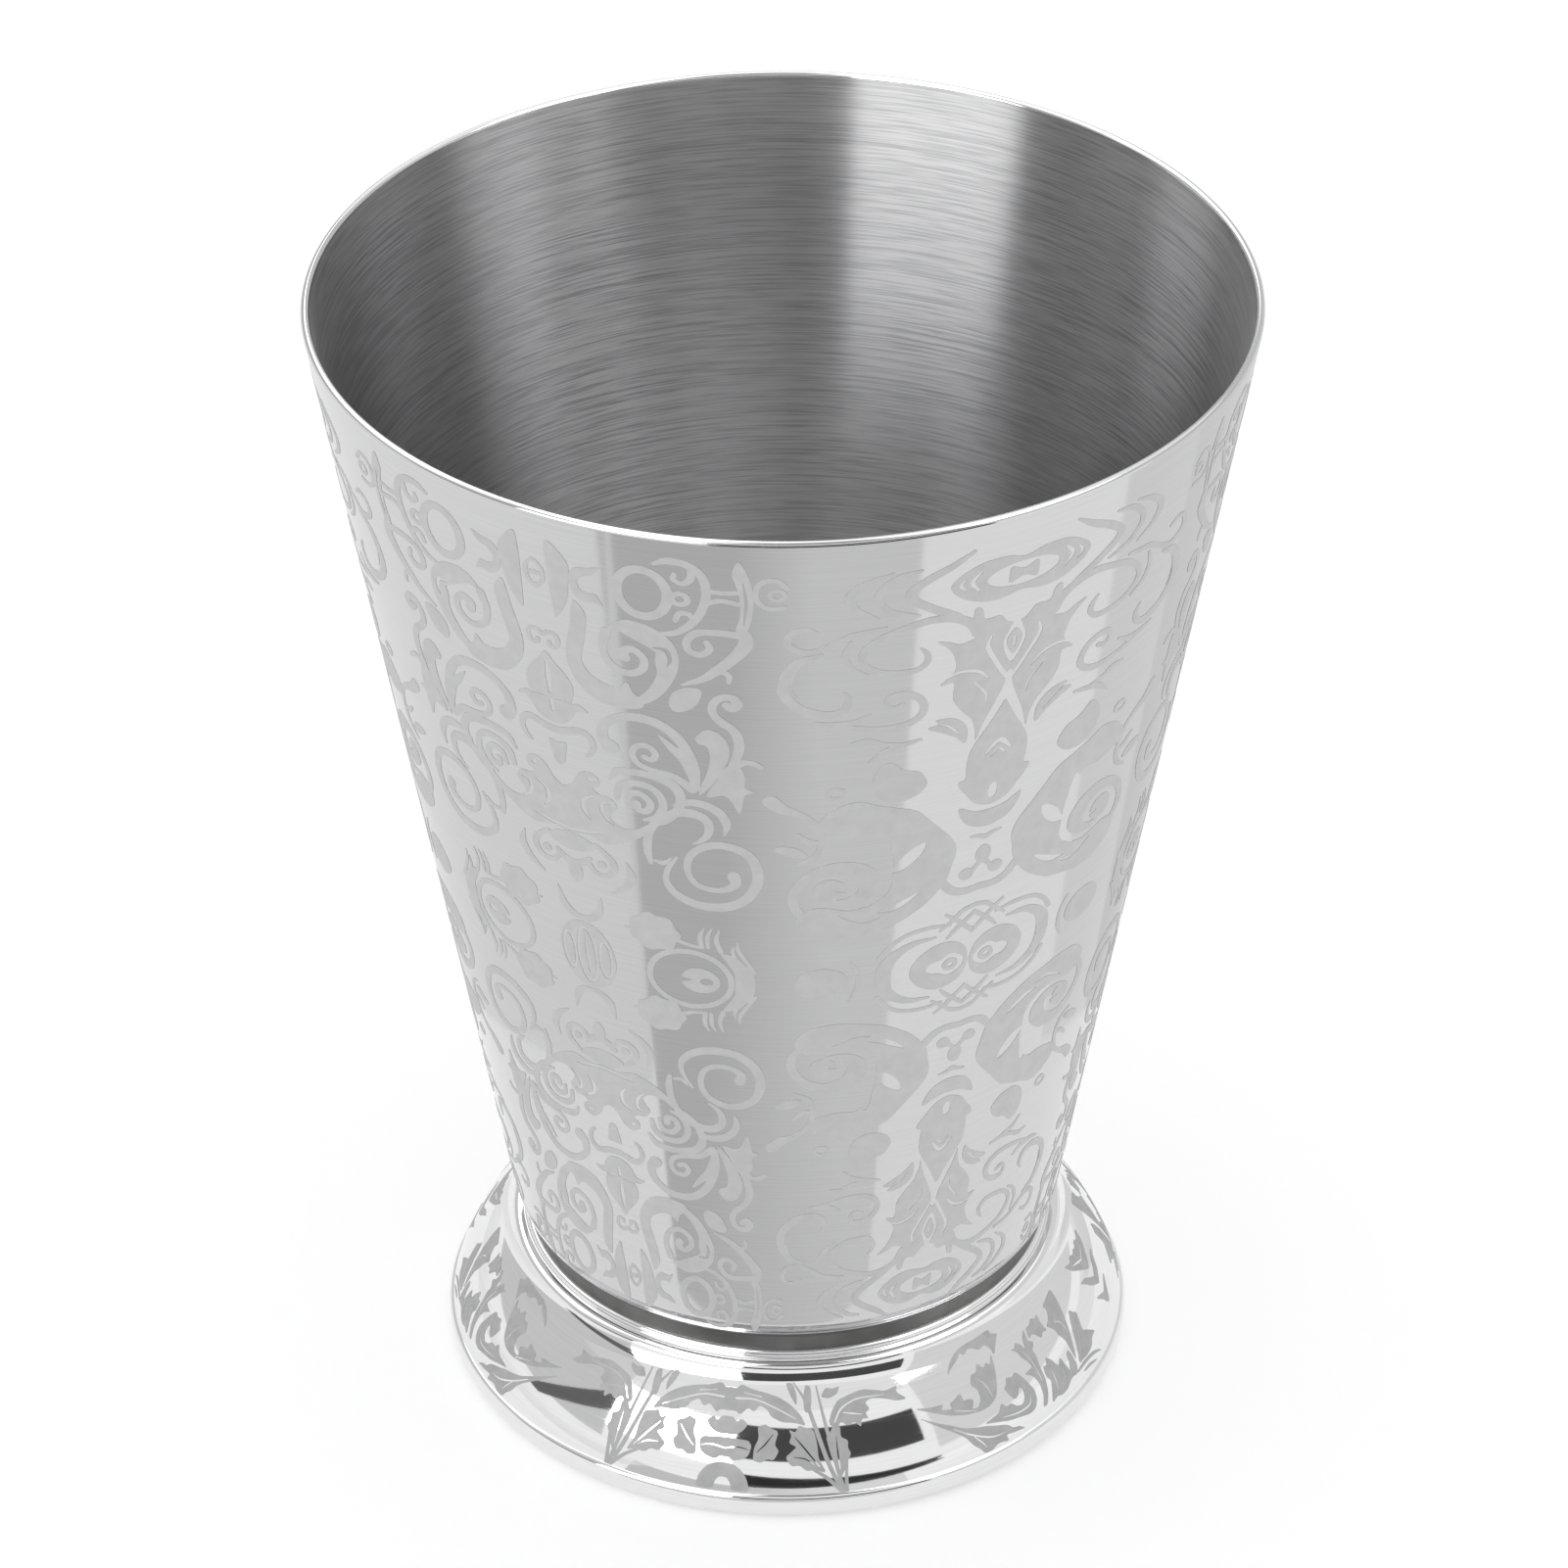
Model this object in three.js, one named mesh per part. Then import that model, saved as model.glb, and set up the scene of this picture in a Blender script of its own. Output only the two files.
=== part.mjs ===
// Footed julep cup: a tapered steel cup brazed onto a pressed, hollow pedestal foot.
// Millimetres, +Z up. The origin is the centre of the ring that the foot stands on.
import * as THREE from 'three';

// Cup: deep-drawn shell with a flat bottom, a rounded lower corner and a rounded rim edge
const overallHeight = 117;
const rimDiameter = 88;
const cupBaseDiameter = 52.8; // where the outer wall's line meets the plane of the underside
const cupSheet = 0.8;
const cupCornerRadius = 4.9; // outside radius between underside and wall

// Foot: pressed shell with a flat web on top, a coved neck, a shoulder, a flared dome and a hemmed lip
const footDiameter = 68;
const footHeight = 14.5; // standing ring to the top of the web
const footSheet = 0.9;
const webHoleDiameter = 24;
const neckDiameter = 52.2;
const neckEdgeRadius = 0.45; // rounded top edge of the neck
const shoulderDiameter = 54.8;
const shoulderDrop = 0.7; // from the web down to the shoulder
const coveRadius = 0.15; // hollow between neck and shoulder
const shoulderRadius = 0.8; // rolled outer edge of the shoulder
const flareRadius = 5; // hollow that leads from the shoulder down into the dome
const flareTop = THREE.MathUtils.degToRad(22); // way the flare faces, above level, at the shoulder
const flareFoot = THREE.MathUtils.degToRad(44); // and where the dome takes over
const domeBulge = 0.59; // how far the dome swells past a straight cone
const lipHeight = 3;
const lipTopRadius = 0.7;
const lipBottomRadius = 1.4;
const lipTopTurn = THREE.MathUtils.degToRad(65); // how far the lip's top edge rolls in
const hemWidth = 4.2; // flange turned in under the lip, measured from the lip's face

// Braze: ring of filler between the foot's web and the cup's underside, with a fillet up the cup's corner
const brazeThickness = 0.25;
const brazeInset = 0.5; // from the neck in to the ring's outer edge
const brazeWidth = 12.5;
const filletSteps = 2; // facets of the cup's corner that the fillet covers

// Facets round the axis and along the profile arcs
const turnSegments = 64;
const arcSteps = 4;
const domeSteps = 6;

const down = -Math.PI / 2;
const up = Math.PI / 2;

function point(radius, height) {
  return new THREE.Vector2(radius, height);
}

// Unit step in the profile plane, turned up from level
function facing(turn) {
  return point(Math.cos(turn), Math.sin(turn));
}

// Points of an arc in the profile plane, from one angle to another
function arc(centre, radius, fromAngle, toAngle, steps = arcSteps) {
  const points = [];
  for (let i = 0; i <= steps; i += 1) {
    const angle = THREE.MathUtils.lerp(fromAngle, toAngle, i / steps);
    points.push(point(centre.x + radius * Math.cos(angle), centre.y + radius * Math.sin(angle)));
  }
  return points;
}

// Circle through two profile points that swells outwards by a given height over their chord
function swellingCircle(low, high, bulge) {
  const chord = high.clone().sub(low);
  const radius = (chord.lengthSq() / 4 + bulge * bulge) / (2 * bulge);
  const outward = point(chord.y, -chord.x).normalize();
  const middle = low.clone().add(high).multiplyScalar(0.5);
  const centre = middle.addScaledVector(outward, bulge - radius);
  return { centre, radius };
}

function angleFrom(centre, target) {
  return Math.atan2(target.y - centre.y, target.x - centre.x);
}

// Turned piece: the profile runs anticlockwise with the radius to the right and height up
function turnedPiece(name, profile, colour, roughness) {
  const geometry = new THREE.LatheGeometry(profile, turnSegments);
  geometry.rotateX(Math.PI / 2);
  const material = new THREE.MeshStandardMaterial({ color: colour, roughness, metalness: 1 });
  const mesh = new THREE.Mesh(geometry, material);
  mesh.name = name;
  return mesh;
}

// The cup's wall is the line from the base corner that just touches the rim's rounded edge
function cupOutline() {
  const underside = footHeight + brazeThickness;
  const rimRadius = cupSheet / 2;
  const rimCentre = point(rimDiameter / 2 - rimRadius, overallHeight - rimRadius);
  const base = point(cupBaseDiameter / 2, underside);
  const toRim = rimCentre.clone().sub(base);
  const lean = Math.atan2(toRim.x, toRim.y) + Math.asin(rimRadius / toRim.length());
  const cornerInset = (cupCornerRadius * (1 - Math.sin(lean))) / Math.cos(lean);
  const cornerCentre = point(base.x - cornerInset, underside + cupCornerRadius);
  const corner = arc(cornerCentre, cupCornerRadius, down, -lean);
  return { underside, rimRadius, rimCentre, lean, cornerCentre, corner };
}

function cupBody() {
  const { underside, rimRadius, rimCentre, lean, cornerCentre, corner } = cupOutline();
  const profile = [
    point(0, underside),
    ...corner,
    ...arc(rimCentre, rimRadius, -lean, 0, 1),
    ...arc(rimCentre, rimRadius, 0, up).slice(1),
    ...arc(rimCentre, rimRadius, up, Math.PI - lean).slice(1),
    ...arc(cornerCentre, cupCornerRadius - cupSheet, -lean, down),
    point(0, underside + cupSheet),
  ];
  return turnedPiece('cup_body', profile, 0xcfd0d2, 0.22);
}

function pedestalFoot() {
  const footRadius = footDiameter / 2;
  const neckRadius = neckDiameter / 2;
  const shoulderTop = footHeight - shoulderDrop;
  const coveCentre = point(neckRadius + coveRadius, shoulderTop + coveRadius);
  const neckEdgeCentre = point(neckRadius - neckEdgeRadius, footHeight - neckEdgeRadius);
  const shoulderCentre = point(shoulderDiameter / 2 - shoulderRadius, shoulderTop - shoulderRadius);
  const lipLowCentre = point(footRadius - lipBottomRadius, lipBottomRadius);
  const lipHighCentre = point(footRadius - lipTopRadius, lipHeight - lipTopRadius);
  const lipTop = arc(lipHighCentre, lipTopRadius, 0, lipTopTurn);
  const flareReach = shoulderRadius + flareRadius;
  const flareCentre = shoulderCentre.clone().addScaledVector(facing(flareTop), flareReach);
  const domeTop = flareCentre.clone().addScaledVector(facing(flareFoot), -flareRadius);
  const domeFoot = lipTop[lipTop.length - 1];
  const dome = swellingCircle(domeFoot, domeTop, domeBulge);
  const domeFrom = angleFrom(dome.centre, domeFoot);
  const domeTo = angleFrom(dome.centre, domeTop);
  const outside = [
    ...arc(lipLowCentre, lipBottomRadius, down, 0),
    ...lipTop,
    ...arc(dome.centre, dome.radius, domeFrom, domeTo, domeSteps).slice(1),
    ...arc(flareCentre, flareRadius, Math.PI + flareFoot, Math.PI + flareTop).slice(1),
    ...arc(shoulderCentre, shoulderRadius, flareTop, up).slice(1),
    ...arc(coveCentre, coveRadius, down, -Math.PI),
    ...arc(neckEdgeCentre, neckEdgeRadius, 0, up),
    point(webHoleDiameter / 2, footHeight),
  ];

  // The inside follows the outside one sheet thickness away
  const coveInside = coveRadius + footSheet;
  const webUnderside = footHeight - footSheet;
  const coveEnd = Math.asin((coveCentre.y - webUnderside) / coveInside) - Math.PI;
  const domeInside = dome.radius - footSheet;
  const shoulderUnderside = shoulderTop - footSheet;
  const flareInside = flareRadius + footSheet;
  const insideTop = Math.asin((flareCentre.y - shoulderUnderside) / flareInside);
  const inside = [
    point(webHoleDiameter / 2, webUnderside),
    ...arc(coveCentre, coveInside, coveEnd, down),
    ...arc(flareCentre, flareInside, Math.PI + insideTop, Math.PI + flareFoot),
    ...arc(dome.centre, domeInside, domeTo, domeFrom, domeSteps).slice(1),
    ...arc(lipLowCentre, lipBottomRadius - footSheet, 0, down),
    point(footRadius - hemWidth, footSheet),
    point(footRadius - hemWidth, 0),
  ];
  const profile = [...outside, ...inside, outside[0]];
  return turnedPiece('pedestal_foot', profile, 0xd6d7d9, 0.1);
}

function brazeRing() {
  const outer = neckDiameter / 2 - brazeInset;
  const inner = outer - brazeWidth;
  const { underside, corner } = cupOutline();
  const profile = [
    point(inner, footHeight),
    point(outer, footHeight),
    ...corner.slice(0, filletSteps + 1).reverse(),
    point(inner, underside),
    point(inner, footHeight),
  ];
  return turnedPiece('braze_ring', profile, 0xb9b6ab, 0.4);
}

const julepCup = new THREE.Group();
julepCup.add(cupBody(), pedestalFoot(), brazeRing());

export default julepCup;
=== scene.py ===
import bpy
import numpy as np
from mathutils import Matrix, Vector
from mathutils.geometry import delaunay_2d_cdt


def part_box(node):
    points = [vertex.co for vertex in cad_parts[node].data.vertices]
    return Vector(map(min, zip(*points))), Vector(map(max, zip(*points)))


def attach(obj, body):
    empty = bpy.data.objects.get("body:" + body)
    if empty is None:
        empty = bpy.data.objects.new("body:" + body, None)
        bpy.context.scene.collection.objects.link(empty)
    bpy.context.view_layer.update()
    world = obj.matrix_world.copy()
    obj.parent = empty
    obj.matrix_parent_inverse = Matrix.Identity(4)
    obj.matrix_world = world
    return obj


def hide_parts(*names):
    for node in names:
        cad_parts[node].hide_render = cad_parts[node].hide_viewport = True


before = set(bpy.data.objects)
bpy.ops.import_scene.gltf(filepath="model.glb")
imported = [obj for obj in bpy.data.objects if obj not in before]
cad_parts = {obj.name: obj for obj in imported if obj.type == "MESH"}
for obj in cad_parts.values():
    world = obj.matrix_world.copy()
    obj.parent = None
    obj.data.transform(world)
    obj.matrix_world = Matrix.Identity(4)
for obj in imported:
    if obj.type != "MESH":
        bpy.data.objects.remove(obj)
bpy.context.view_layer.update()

mm = 0.001
rad = np.pi / 180
scene = bpy.context.scene
cupLow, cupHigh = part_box("cup_body")
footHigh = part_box("pedestal_foot")[1]
print("frame loaded:", sorted(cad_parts))


def facing(turn):
    # unit step in the profile plane, turned up from level
    return np.array([np.cos(turn), np.sin(turn)])


# Profile pieces: rows of radius, height, normal radius, normal height, run anticlockwise
def arcPiece(centre, radius, start, end, steps, side=1):
    # circle about a centre: point = centre + radius * (cos, sin), normal along the spoke
    a = np.linspace(start, end, steps + 1)
    spoke = np.stack([np.cos(a), np.sin(a)], 1)
    return np.hstack([np.asarray(centre) + radius * spoke, side * spoke])


def linePiece(start, end, steps=1):
    # straight line, its normal is the direction turned clockwise
    t = np.linspace(0, 1, steps + 1)[:, None]
    start, end = np.asarray(start, float), np.asarray(end, float)
    run = (end - start) / np.linalg.norm(end - start)
    normal = np.broadcast_to([run[1], -run[0]], (steps + 1, 2))
    return np.hstack([start + t * (end - start), normal])


def loopedMesh(name, points, faces, normals, zones, materials):
    # puts faces of three or four corners, with their own corner normals, into a mesh object
    mesh = bpy.data.meshes.new(name)
    mesh.from_pydata(points.tolist(), [], [f for block in faces for f in block.tolist()])
    mesh.polygons.foreach_set("material_index", np.concatenate(zones).astype(np.int32))
    mesh.polygons.foreach_set("use_smooth", np.ones(len(mesh.polygons), bool))
    mesh.normals_split_custom_set(np.concatenate([n.reshape(-1, 3) for n in normals]).tolist())
    mesh.update()
    piece = bpy.data.objects.new(name, mesh)
    scene.collection.objects.link(piece)
    for material in materials:
        mesh.materials.append(material)
    return piece


def turnedPiece(name, pieces, zones, materials, turns):
    # profile spun about Z: x = r cos a, y = r sin a; rows on the axis become one pole each
    angle = 2 * np.pi * np.arange(turns) / turns
    spin = np.stack([np.cos(angle), np.sin(angle)], 1)
    rows, joined = np.unique(np.concatenate(pieces)[:, :2].round(9), axis=0, return_inverse=True)
    joined = joined.reshape(-1)
    onAxis = rows[:, 0] < 1e-7
    ring = np.cumsum(~onAxis) - 1
    ringRows = rows[~onAxis]
    body = np.empty((len(ringRows), turns, 3))
    body[:, :, :2] = ringRows[:, None, :1] * spin
    body[:, :, 2] = ringRows[:, 1:]
    poles = np.column_stack([np.zeros((onAxis.sum(), 2)), rows[onAxis, 1]])
    pole = len(ringRows) * turns + np.cumsum(onAxis) - 1
    points = np.vstack([body.reshape(-1, 3), poles])
    column = np.arange(turns)
    after = np.roll(column, -1)
    faces, normals, zone = [], [], []
    start = 0
    for piece, kind in zip(pieces, zones):
        ids = joined[start:start + len(piece)]
        start += len(piece)
        full = np.zeros((len(piece), turns, 3))
        full[:, :, :2] = piece[:, None, 2:3] * spin
        full[:, :, 2] = piece[:, 3:]
        for j in range(len(piece) - 1):
            low, high = ids[j], ids[j + 1]
            lowN, highN = full[j], full[j + 1]
            if onAxis[low]:
                face = np.stack([np.full(turns, pole[low]), ring[high] * turns + after,
                                 ring[high] * turns + column], 1)
                normal = np.stack([lowN, highN[after], highN], 1)
            elif onAxis[high]:
                face = np.stack([ring[low] * turns + column, ring[low] * turns + after,
                                 np.full(turns, pole[high])], 1)
                normal = np.stack([lowN, lowN[after], highN], 1)
            else:
                face = np.stack([ring[low] * turns + column, ring[low] * turns + after,
                                 ring[high] * turns + after, ring[high] * turns + column], 1)
                normal = np.stack([lowN, lowN[after], highN[after], highN], 1)
            faces.append(face)
            normals.append(normal)
            zone.append(np.full(turns, kind))
    return loopedMesh(name, points, faces, normals, zone, materials)


# Node helpers
def newMaterial(name):
    material = bpy.data.materials.new(name)
    material.use_nodes = True
    nodes, links = material.node_tree.nodes, material.node_tree.links
    return material, nodes, links, nodes["Principled BSDF"]


def turningCoords(nodes, links, along, across, lean=0.0):
    # coordinates that run round the Z axis: unit circle direction times along, height times across
    coords = nodes.new("ShaderNodeTexCoord")
    flat = nodes.new("ShaderNodeVectorMath")
    flat.operation = "MULTIPLY"
    flat.inputs[1].default_value = (1, 1, 0)
    links.new(coords.outputs["Object"], flat.inputs[0])
    unit = nodes.new("ShaderNodeVectorMath")
    unit.operation = "NORMALIZE"
    links.new(flat.outputs[0], unit.inputs[0])
    spread = nodes.new("ShaderNodeVectorMath")
    spread.operation = "MULTIPLY"
    spread.inputs[1].default_value = (along, along, 0)
    links.new(unit.outputs[0], spread.inputs[0])
    tall = nodes.new("ShaderNodeVectorMath")
    tall.operation = "MULTIPLY"
    tall.inputs[1].default_value = (across * lean, across * lean, across)
    links.new(coords.outputs["Object"], tall.inputs[0])
    tilt = nodes.new("ShaderNodeVectorMath")
    tilt.operation = "ADD"
    links.new(spread.outputs[0], tilt.inputs[0])
    links.new(tall.outputs[0], tilt.inputs[1])
    return tilt.outputs[0]


def noiseOn(nodes, links, vector, scale=1.0, detail=3.0, roughness=0.6):
    noise = nodes.new("ShaderNodeTexNoise")
    noise.inputs["Scale"].default_value = scale
    noise.inputs["Detail"].default_value = detail
    noise.inputs["Roughness"].default_value = roughness
    links.new(vector, noise.inputs["Vector"])
    return noise.outputs["Fac"]


def ranged(nodes, links, value, low, high, fromLow=0.3, fromHigh=0.7):
    span = nodes.new("ShaderNodeMapRange")
    span.inputs["From Min"].default_value = fromLow
    span.inputs["From Max"].default_value = fromHigh
    span.inputs["To Min"].default_value = low
    span.inputs["To Max"].default_value = high
    links.new(value, span.inputs["Value"])
    return span.outputs["Result"]


def tinted(nodes, links, value, dark, light, low=0.3, high=0.7):
    ramp = nodes.new("ShaderNodeValToRGB")
    ramp.color_ramp.elements[0].position = low
    ramp.color_ramp.elements[1].position = high
    ramp.color_ramp.elements[0].color = (*dark, 1)
    ramp.color_ramp.elements[1].color = (*light, 1)
    links.new(value, ramp.inputs["Fac"])
    return ramp.outputs["Color"]


def bumped(nodes, links, value, shader, strength, distance):
    bump = nodes.new("ShaderNodeBump")
    bump.inputs["Strength"].default_value = strength
    bump.inputs["Distance"].default_value = distance
    links.new(value, bump.inputs["Height"])
    links.new(bump.outputs["Normal"], shader.inputs["Normal"])


# Finishes: tones, roughness and, for the brushed one, how its grain and scratches mix
polish = dict(dark=(0.61, 0.61, 0.615), light=(0.65, 0.65, 0.655), rough=(0.06, 0.11))
mirror = dict(dark=(0.79, 0.79, 0.795), light=(0.84, 0.84, 0.845), rough=(0.03, 0.07))
brush = dict(dark=(0.375, 0.375, 0.38), light=(0.525, 0.525, 0.53), rough=(0.285, 0.32), grain=1.0,
             lean=0.04, scratch=0.8, spread=0.22, depth=0.12)
leafFrost = dict(dark=(0.34, 0.34, 0.345), light=(0.41, 0.41, 0.415), rough=(0.5, 0.6), metal=0.08)
# dark tones of the braze ring: painted shade of the crease under the cup's corner
shadedFillerLook = dict(dark=(0.11, 0.11, 0.108), light=(0.2, 0.199, 0.195), rough=(0.3, 0.5))
frost = dict(dark=(0.47, 0.47, 0.475), light=(0.52, 0.52, 0.525), rough=(0.44, 0.56), metal=0.15)


def polishedSteel(name, look):
    material, nodes, links, shader = newMaterial(name)
    lines = noiseOn(nodes, links, turningCoords(nodes, links, along=3, across=5200), detail=4)
    links.new(tinted(nodes, links, lines, look["dark"], look["light"]), shader.inputs["Base Color"])
    links.new(ranged(nodes, links, lines, *look["rough"]), shader.inputs["Roughness"])
    shader.inputs["Metallic"].default_value = 1
    return material


def brushedSteel(name, look):
    material, nodes, links, shader = newMaterial(name)
    grain = turningCoords(nodes, links, along=1.3, across=9500)
    scratches = turningCoords(nodes, links, along=0.7, across=5200, lean=look["lean"])
    fine = noiseOn(nodes, links, grain, detail=1, roughness=0.5)
    long = noiseOn(nodes, links, scratches, detail=1, roughness=0.5)
    both = nodes.new("ShaderNodeMath")
    both.operation = "MULTIPLY_ADD"
    both.inputs[1].default_value = look["scratch"]
    links.new(long, both.inputs[0])
    links.new(fine, both.inputs[2])
    mixed = both.outputs[0]
    middle = 0.5 + 0.5 * look["scratch"]
    low, high = middle - look["spread"], middle + look["spread"]
    tone = tinted(nodes, links, mixed, look["dark"], look["light"], low, high)
    links.new(tone, shader.inputs["Base Color"])
    links.new(ranged(nodes, links, mixed, *look["rough"], low, high), shader.inputs["Roughness"])
    bumped(nodes, links, mixed, shader, strength=look["depth"], distance=0.00002)
    shader.inputs["Metallic"].default_value = 1
    shader.inputs["Anisotropic"].default_value = look["grain"]
    shader.inputs["Anisotropic Rotation"].default_value = 0.25
    tangent = nodes.new("ShaderNodeTangent")
    tangent.direction_type = "RADIAL"
    tangent.axis = "Z"
    links.new(tangent.outputs[0], shader.inputs["Tangent"])
    return material


def etchedSteel(name, look):
    material, nodes, links, shader = newMaterial(name)
    coords = nodes.new("ShaderNodeTexCoord")
    grain = noiseOn(nodes, links, coords.outputs["Object"], scale=9000, detail=2)
    cloud = noiseOn(nodes, links, coords.outputs["Object"], scale=700, detail=3)
    links.new(tinted(nodes, links, cloud, look["dark"], look["light"]), shader.inputs["Base Color"])
    links.new(ranged(nodes, links, grain, *look["rough"]), shader.inputs["Roughness"])
    bumped(nodes, links, grain, shader, strength=0.25, distance=0.00001)
    shader.inputs["Metallic"].default_value = look["metal"]
    return material


def shadedFiller(name, look):
    # braze metal: cast grain over a dark, uneven tone that is painted shade of the crease under the cup's
    # corner
    material, nodes, links, shader = newMaterial(name)
    coords = nodes.new("ShaderNodeTexCoord")
    grain = noiseOn(nodes, links, coords.outputs["Object"], scale=3200, detail=4)
    unevenTone = noiseOn(nodes, links, coords.outputs["Object"], scale=140, detail=2)
    links.new(tinted(nodes, links, unevenTone, look["dark"], look["light"]), shader.inputs["Base Color"])
    links.new(ranged(nodes, links, grain, *look["rough"]), shader.inputs["Roughness"])
    bumped(nodes, links, grain, shader, strength=0.5, distance=0.00004)
    shader.inputs["Metallic"].default_value = 1
    return material


outerSteel = polishedSteel("polishedSteel", polish)
footSteel = polishedSteel("mirrorSteel", mirror)
innerSteel = brushedSteel("brushedSteel", brush)
frostedSteel = etchedSteel("frostedSteel", frost)
frostedFoot = etchedSteel("frostedFoot", leafFrost)
fillerMetal = shadedFiller("shadedFiller", shadedFillerLook)
print("finishes ready")

# Cup shell
cup = dict(baseRadius=26.4 * mm, sheet=0.8 * mm, corner=4.9 * mm, turns=480)


def cupProfile():
    # flat bottom, round corner, then the line that just touches the rim's half circle;
    # the inside runs back down one sheet thickness away
    underside = cupLow.z
    edge = cup["sheet"] / 2
    rim = np.array([cupHigh.x - edge, cupHigh.z - edge])
    base = np.array([cup["baseRadius"], underside])
    toRim = rim - base
    lean = np.arctan2(*toRim) + np.arcsin(edge / np.linalg.norm(toRim))
    inset = cup["corner"] * (1 - np.sin(lean)) / np.cos(lean)
    corner = np.array([base[0] - inset, underside + cup["corner"]])
    inner = cup["corner"] - cup["sheet"]
    out = np.array([np.cos(lean), -np.sin(lean)])
    pieces = [
        linePiece((0, underside), (corner[0], underside), 12),
        arcPiece(corner, cup["corner"], -np.pi / 2, -lean, 24),
        linePiece(corner + out * cup["corner"], rim + out * edge, 60),
        arcPiece(rim, edge, -lean, np.pi - lean, 16),
        linePiece(rim - out * edge, corner + out * inner, 60),
        arcPiece(corner, inner, -lean, -np.pi / 2, 18, -1),
        linePiece((corner[0], underside + cup["sheet"]), (0, underside + cup["sheet"]), 12),
    ]
    return pieces, lean, corner


cupPieces, wallLean, cupCorner = cupProfile()
steelCup = turnedPiece("steel_cup", cupPieces, [0, 0, 0, 0, 1, 1, 1], [outerSteel, innerSteel],
                       cup["turns"])
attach(steelCup, "root")
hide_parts("cup_body")
print("cup made:", len(steelCup.data.polygons), "faces")

# Frosted scrollwork of the wall: two panels in turn, three times round, mirrored about a middle line
def smoothed(points, closed, steps):
    # Catmull-Rom curve through the points, the same number of steps in each span
    p = np.asarray(points, float)
    if closed:
        p = np.vstack([p[-1:], p, p[:2]])
    else:
        p = np.vstack([2 * p[0] - p[1], p, 2 * p[-1] - p[-2]])
    t = np.linspace(0, 1, steps, endpoint=False)[:, None, None]
    a, b, c, d = p[:-3], p[1:-2], p[2:-1], p[3:]
    square, cube = 2 * a - 5 * b + 4 * c - d, 3 * b - a - 3 * c + d
    curve = 0.5 * (2 * b + (c - a) * t + square * t ** 2 + cube * t ** 3)
    curve = curve.transpose(1, 0, 2).reshape(-1, p.shape[1])
    return curve if closed else np.vstack([curve, p[-2:-1]])


def blob(*points, steps=4):
    # closed smooth outline through a few points
    return smoothed(points, True, steps)


def stroke(*points, width, steps=5):
    # line through a few points, its width easing between the given widths, ends rounded
    wide = np.interp(np.linspace(0, 1, len(points)), np.linspace(0, 1, len(np.atleast_1d(width))),
                     np.atleast_1d(width))
    line = smoothed(np.column_stack([points, wide / 2]), False, steps)
    run = np.gradient(line[:, :2], axis=0)
    run /= np.linalg.norm(run, axis=1)[:, None]
    left = np.stack([-run[:, 1], run[:, 0]], 1)
    half = line[:, 2:]
    a = np.linspace(0, np.pi, 6)[1:-1, None]
    cap = lambda i, s: line[i, :2] + half[i] * (np.cos(a) * s * left[i] + np.sin(a) * s * run[i])
    return np.vstack([line[:, :2] + half * left, cap(-1, 1), (line[:, :2] - half * left)[::-1],
                      cap(0, -1)])


def oval(x, y, wide, tall, lobes=0, depth=0.0, count=28):
    # ellipse, with lobes round it when asked
    a = np.linspace(0, 2 * np.pi, count, endpoint=False)
    swell = 1 + depth * np.cos(lobes * a)
    return np.stack([x + wide * swell * np.cos(a), y + tall * swell * np.sin(a)], 1)


def hoop(x, y, wide, tall, width):
    # ellipse of the given line width: a larger one etched, a smaller one cleared
    return [(1, oval(x, y, wide + width / 2, tall + width / 2)),
            (0, oval(x, y, wide - width / 2, tall - width / 2))]


def sketch():
    # list of outlines, with a way to add an etched one and one that clears what lies under it
    parts = []
    return parts, lambda shape: parts.append((1, shape)), lambda shape: parts.append((0, shape))


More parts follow.
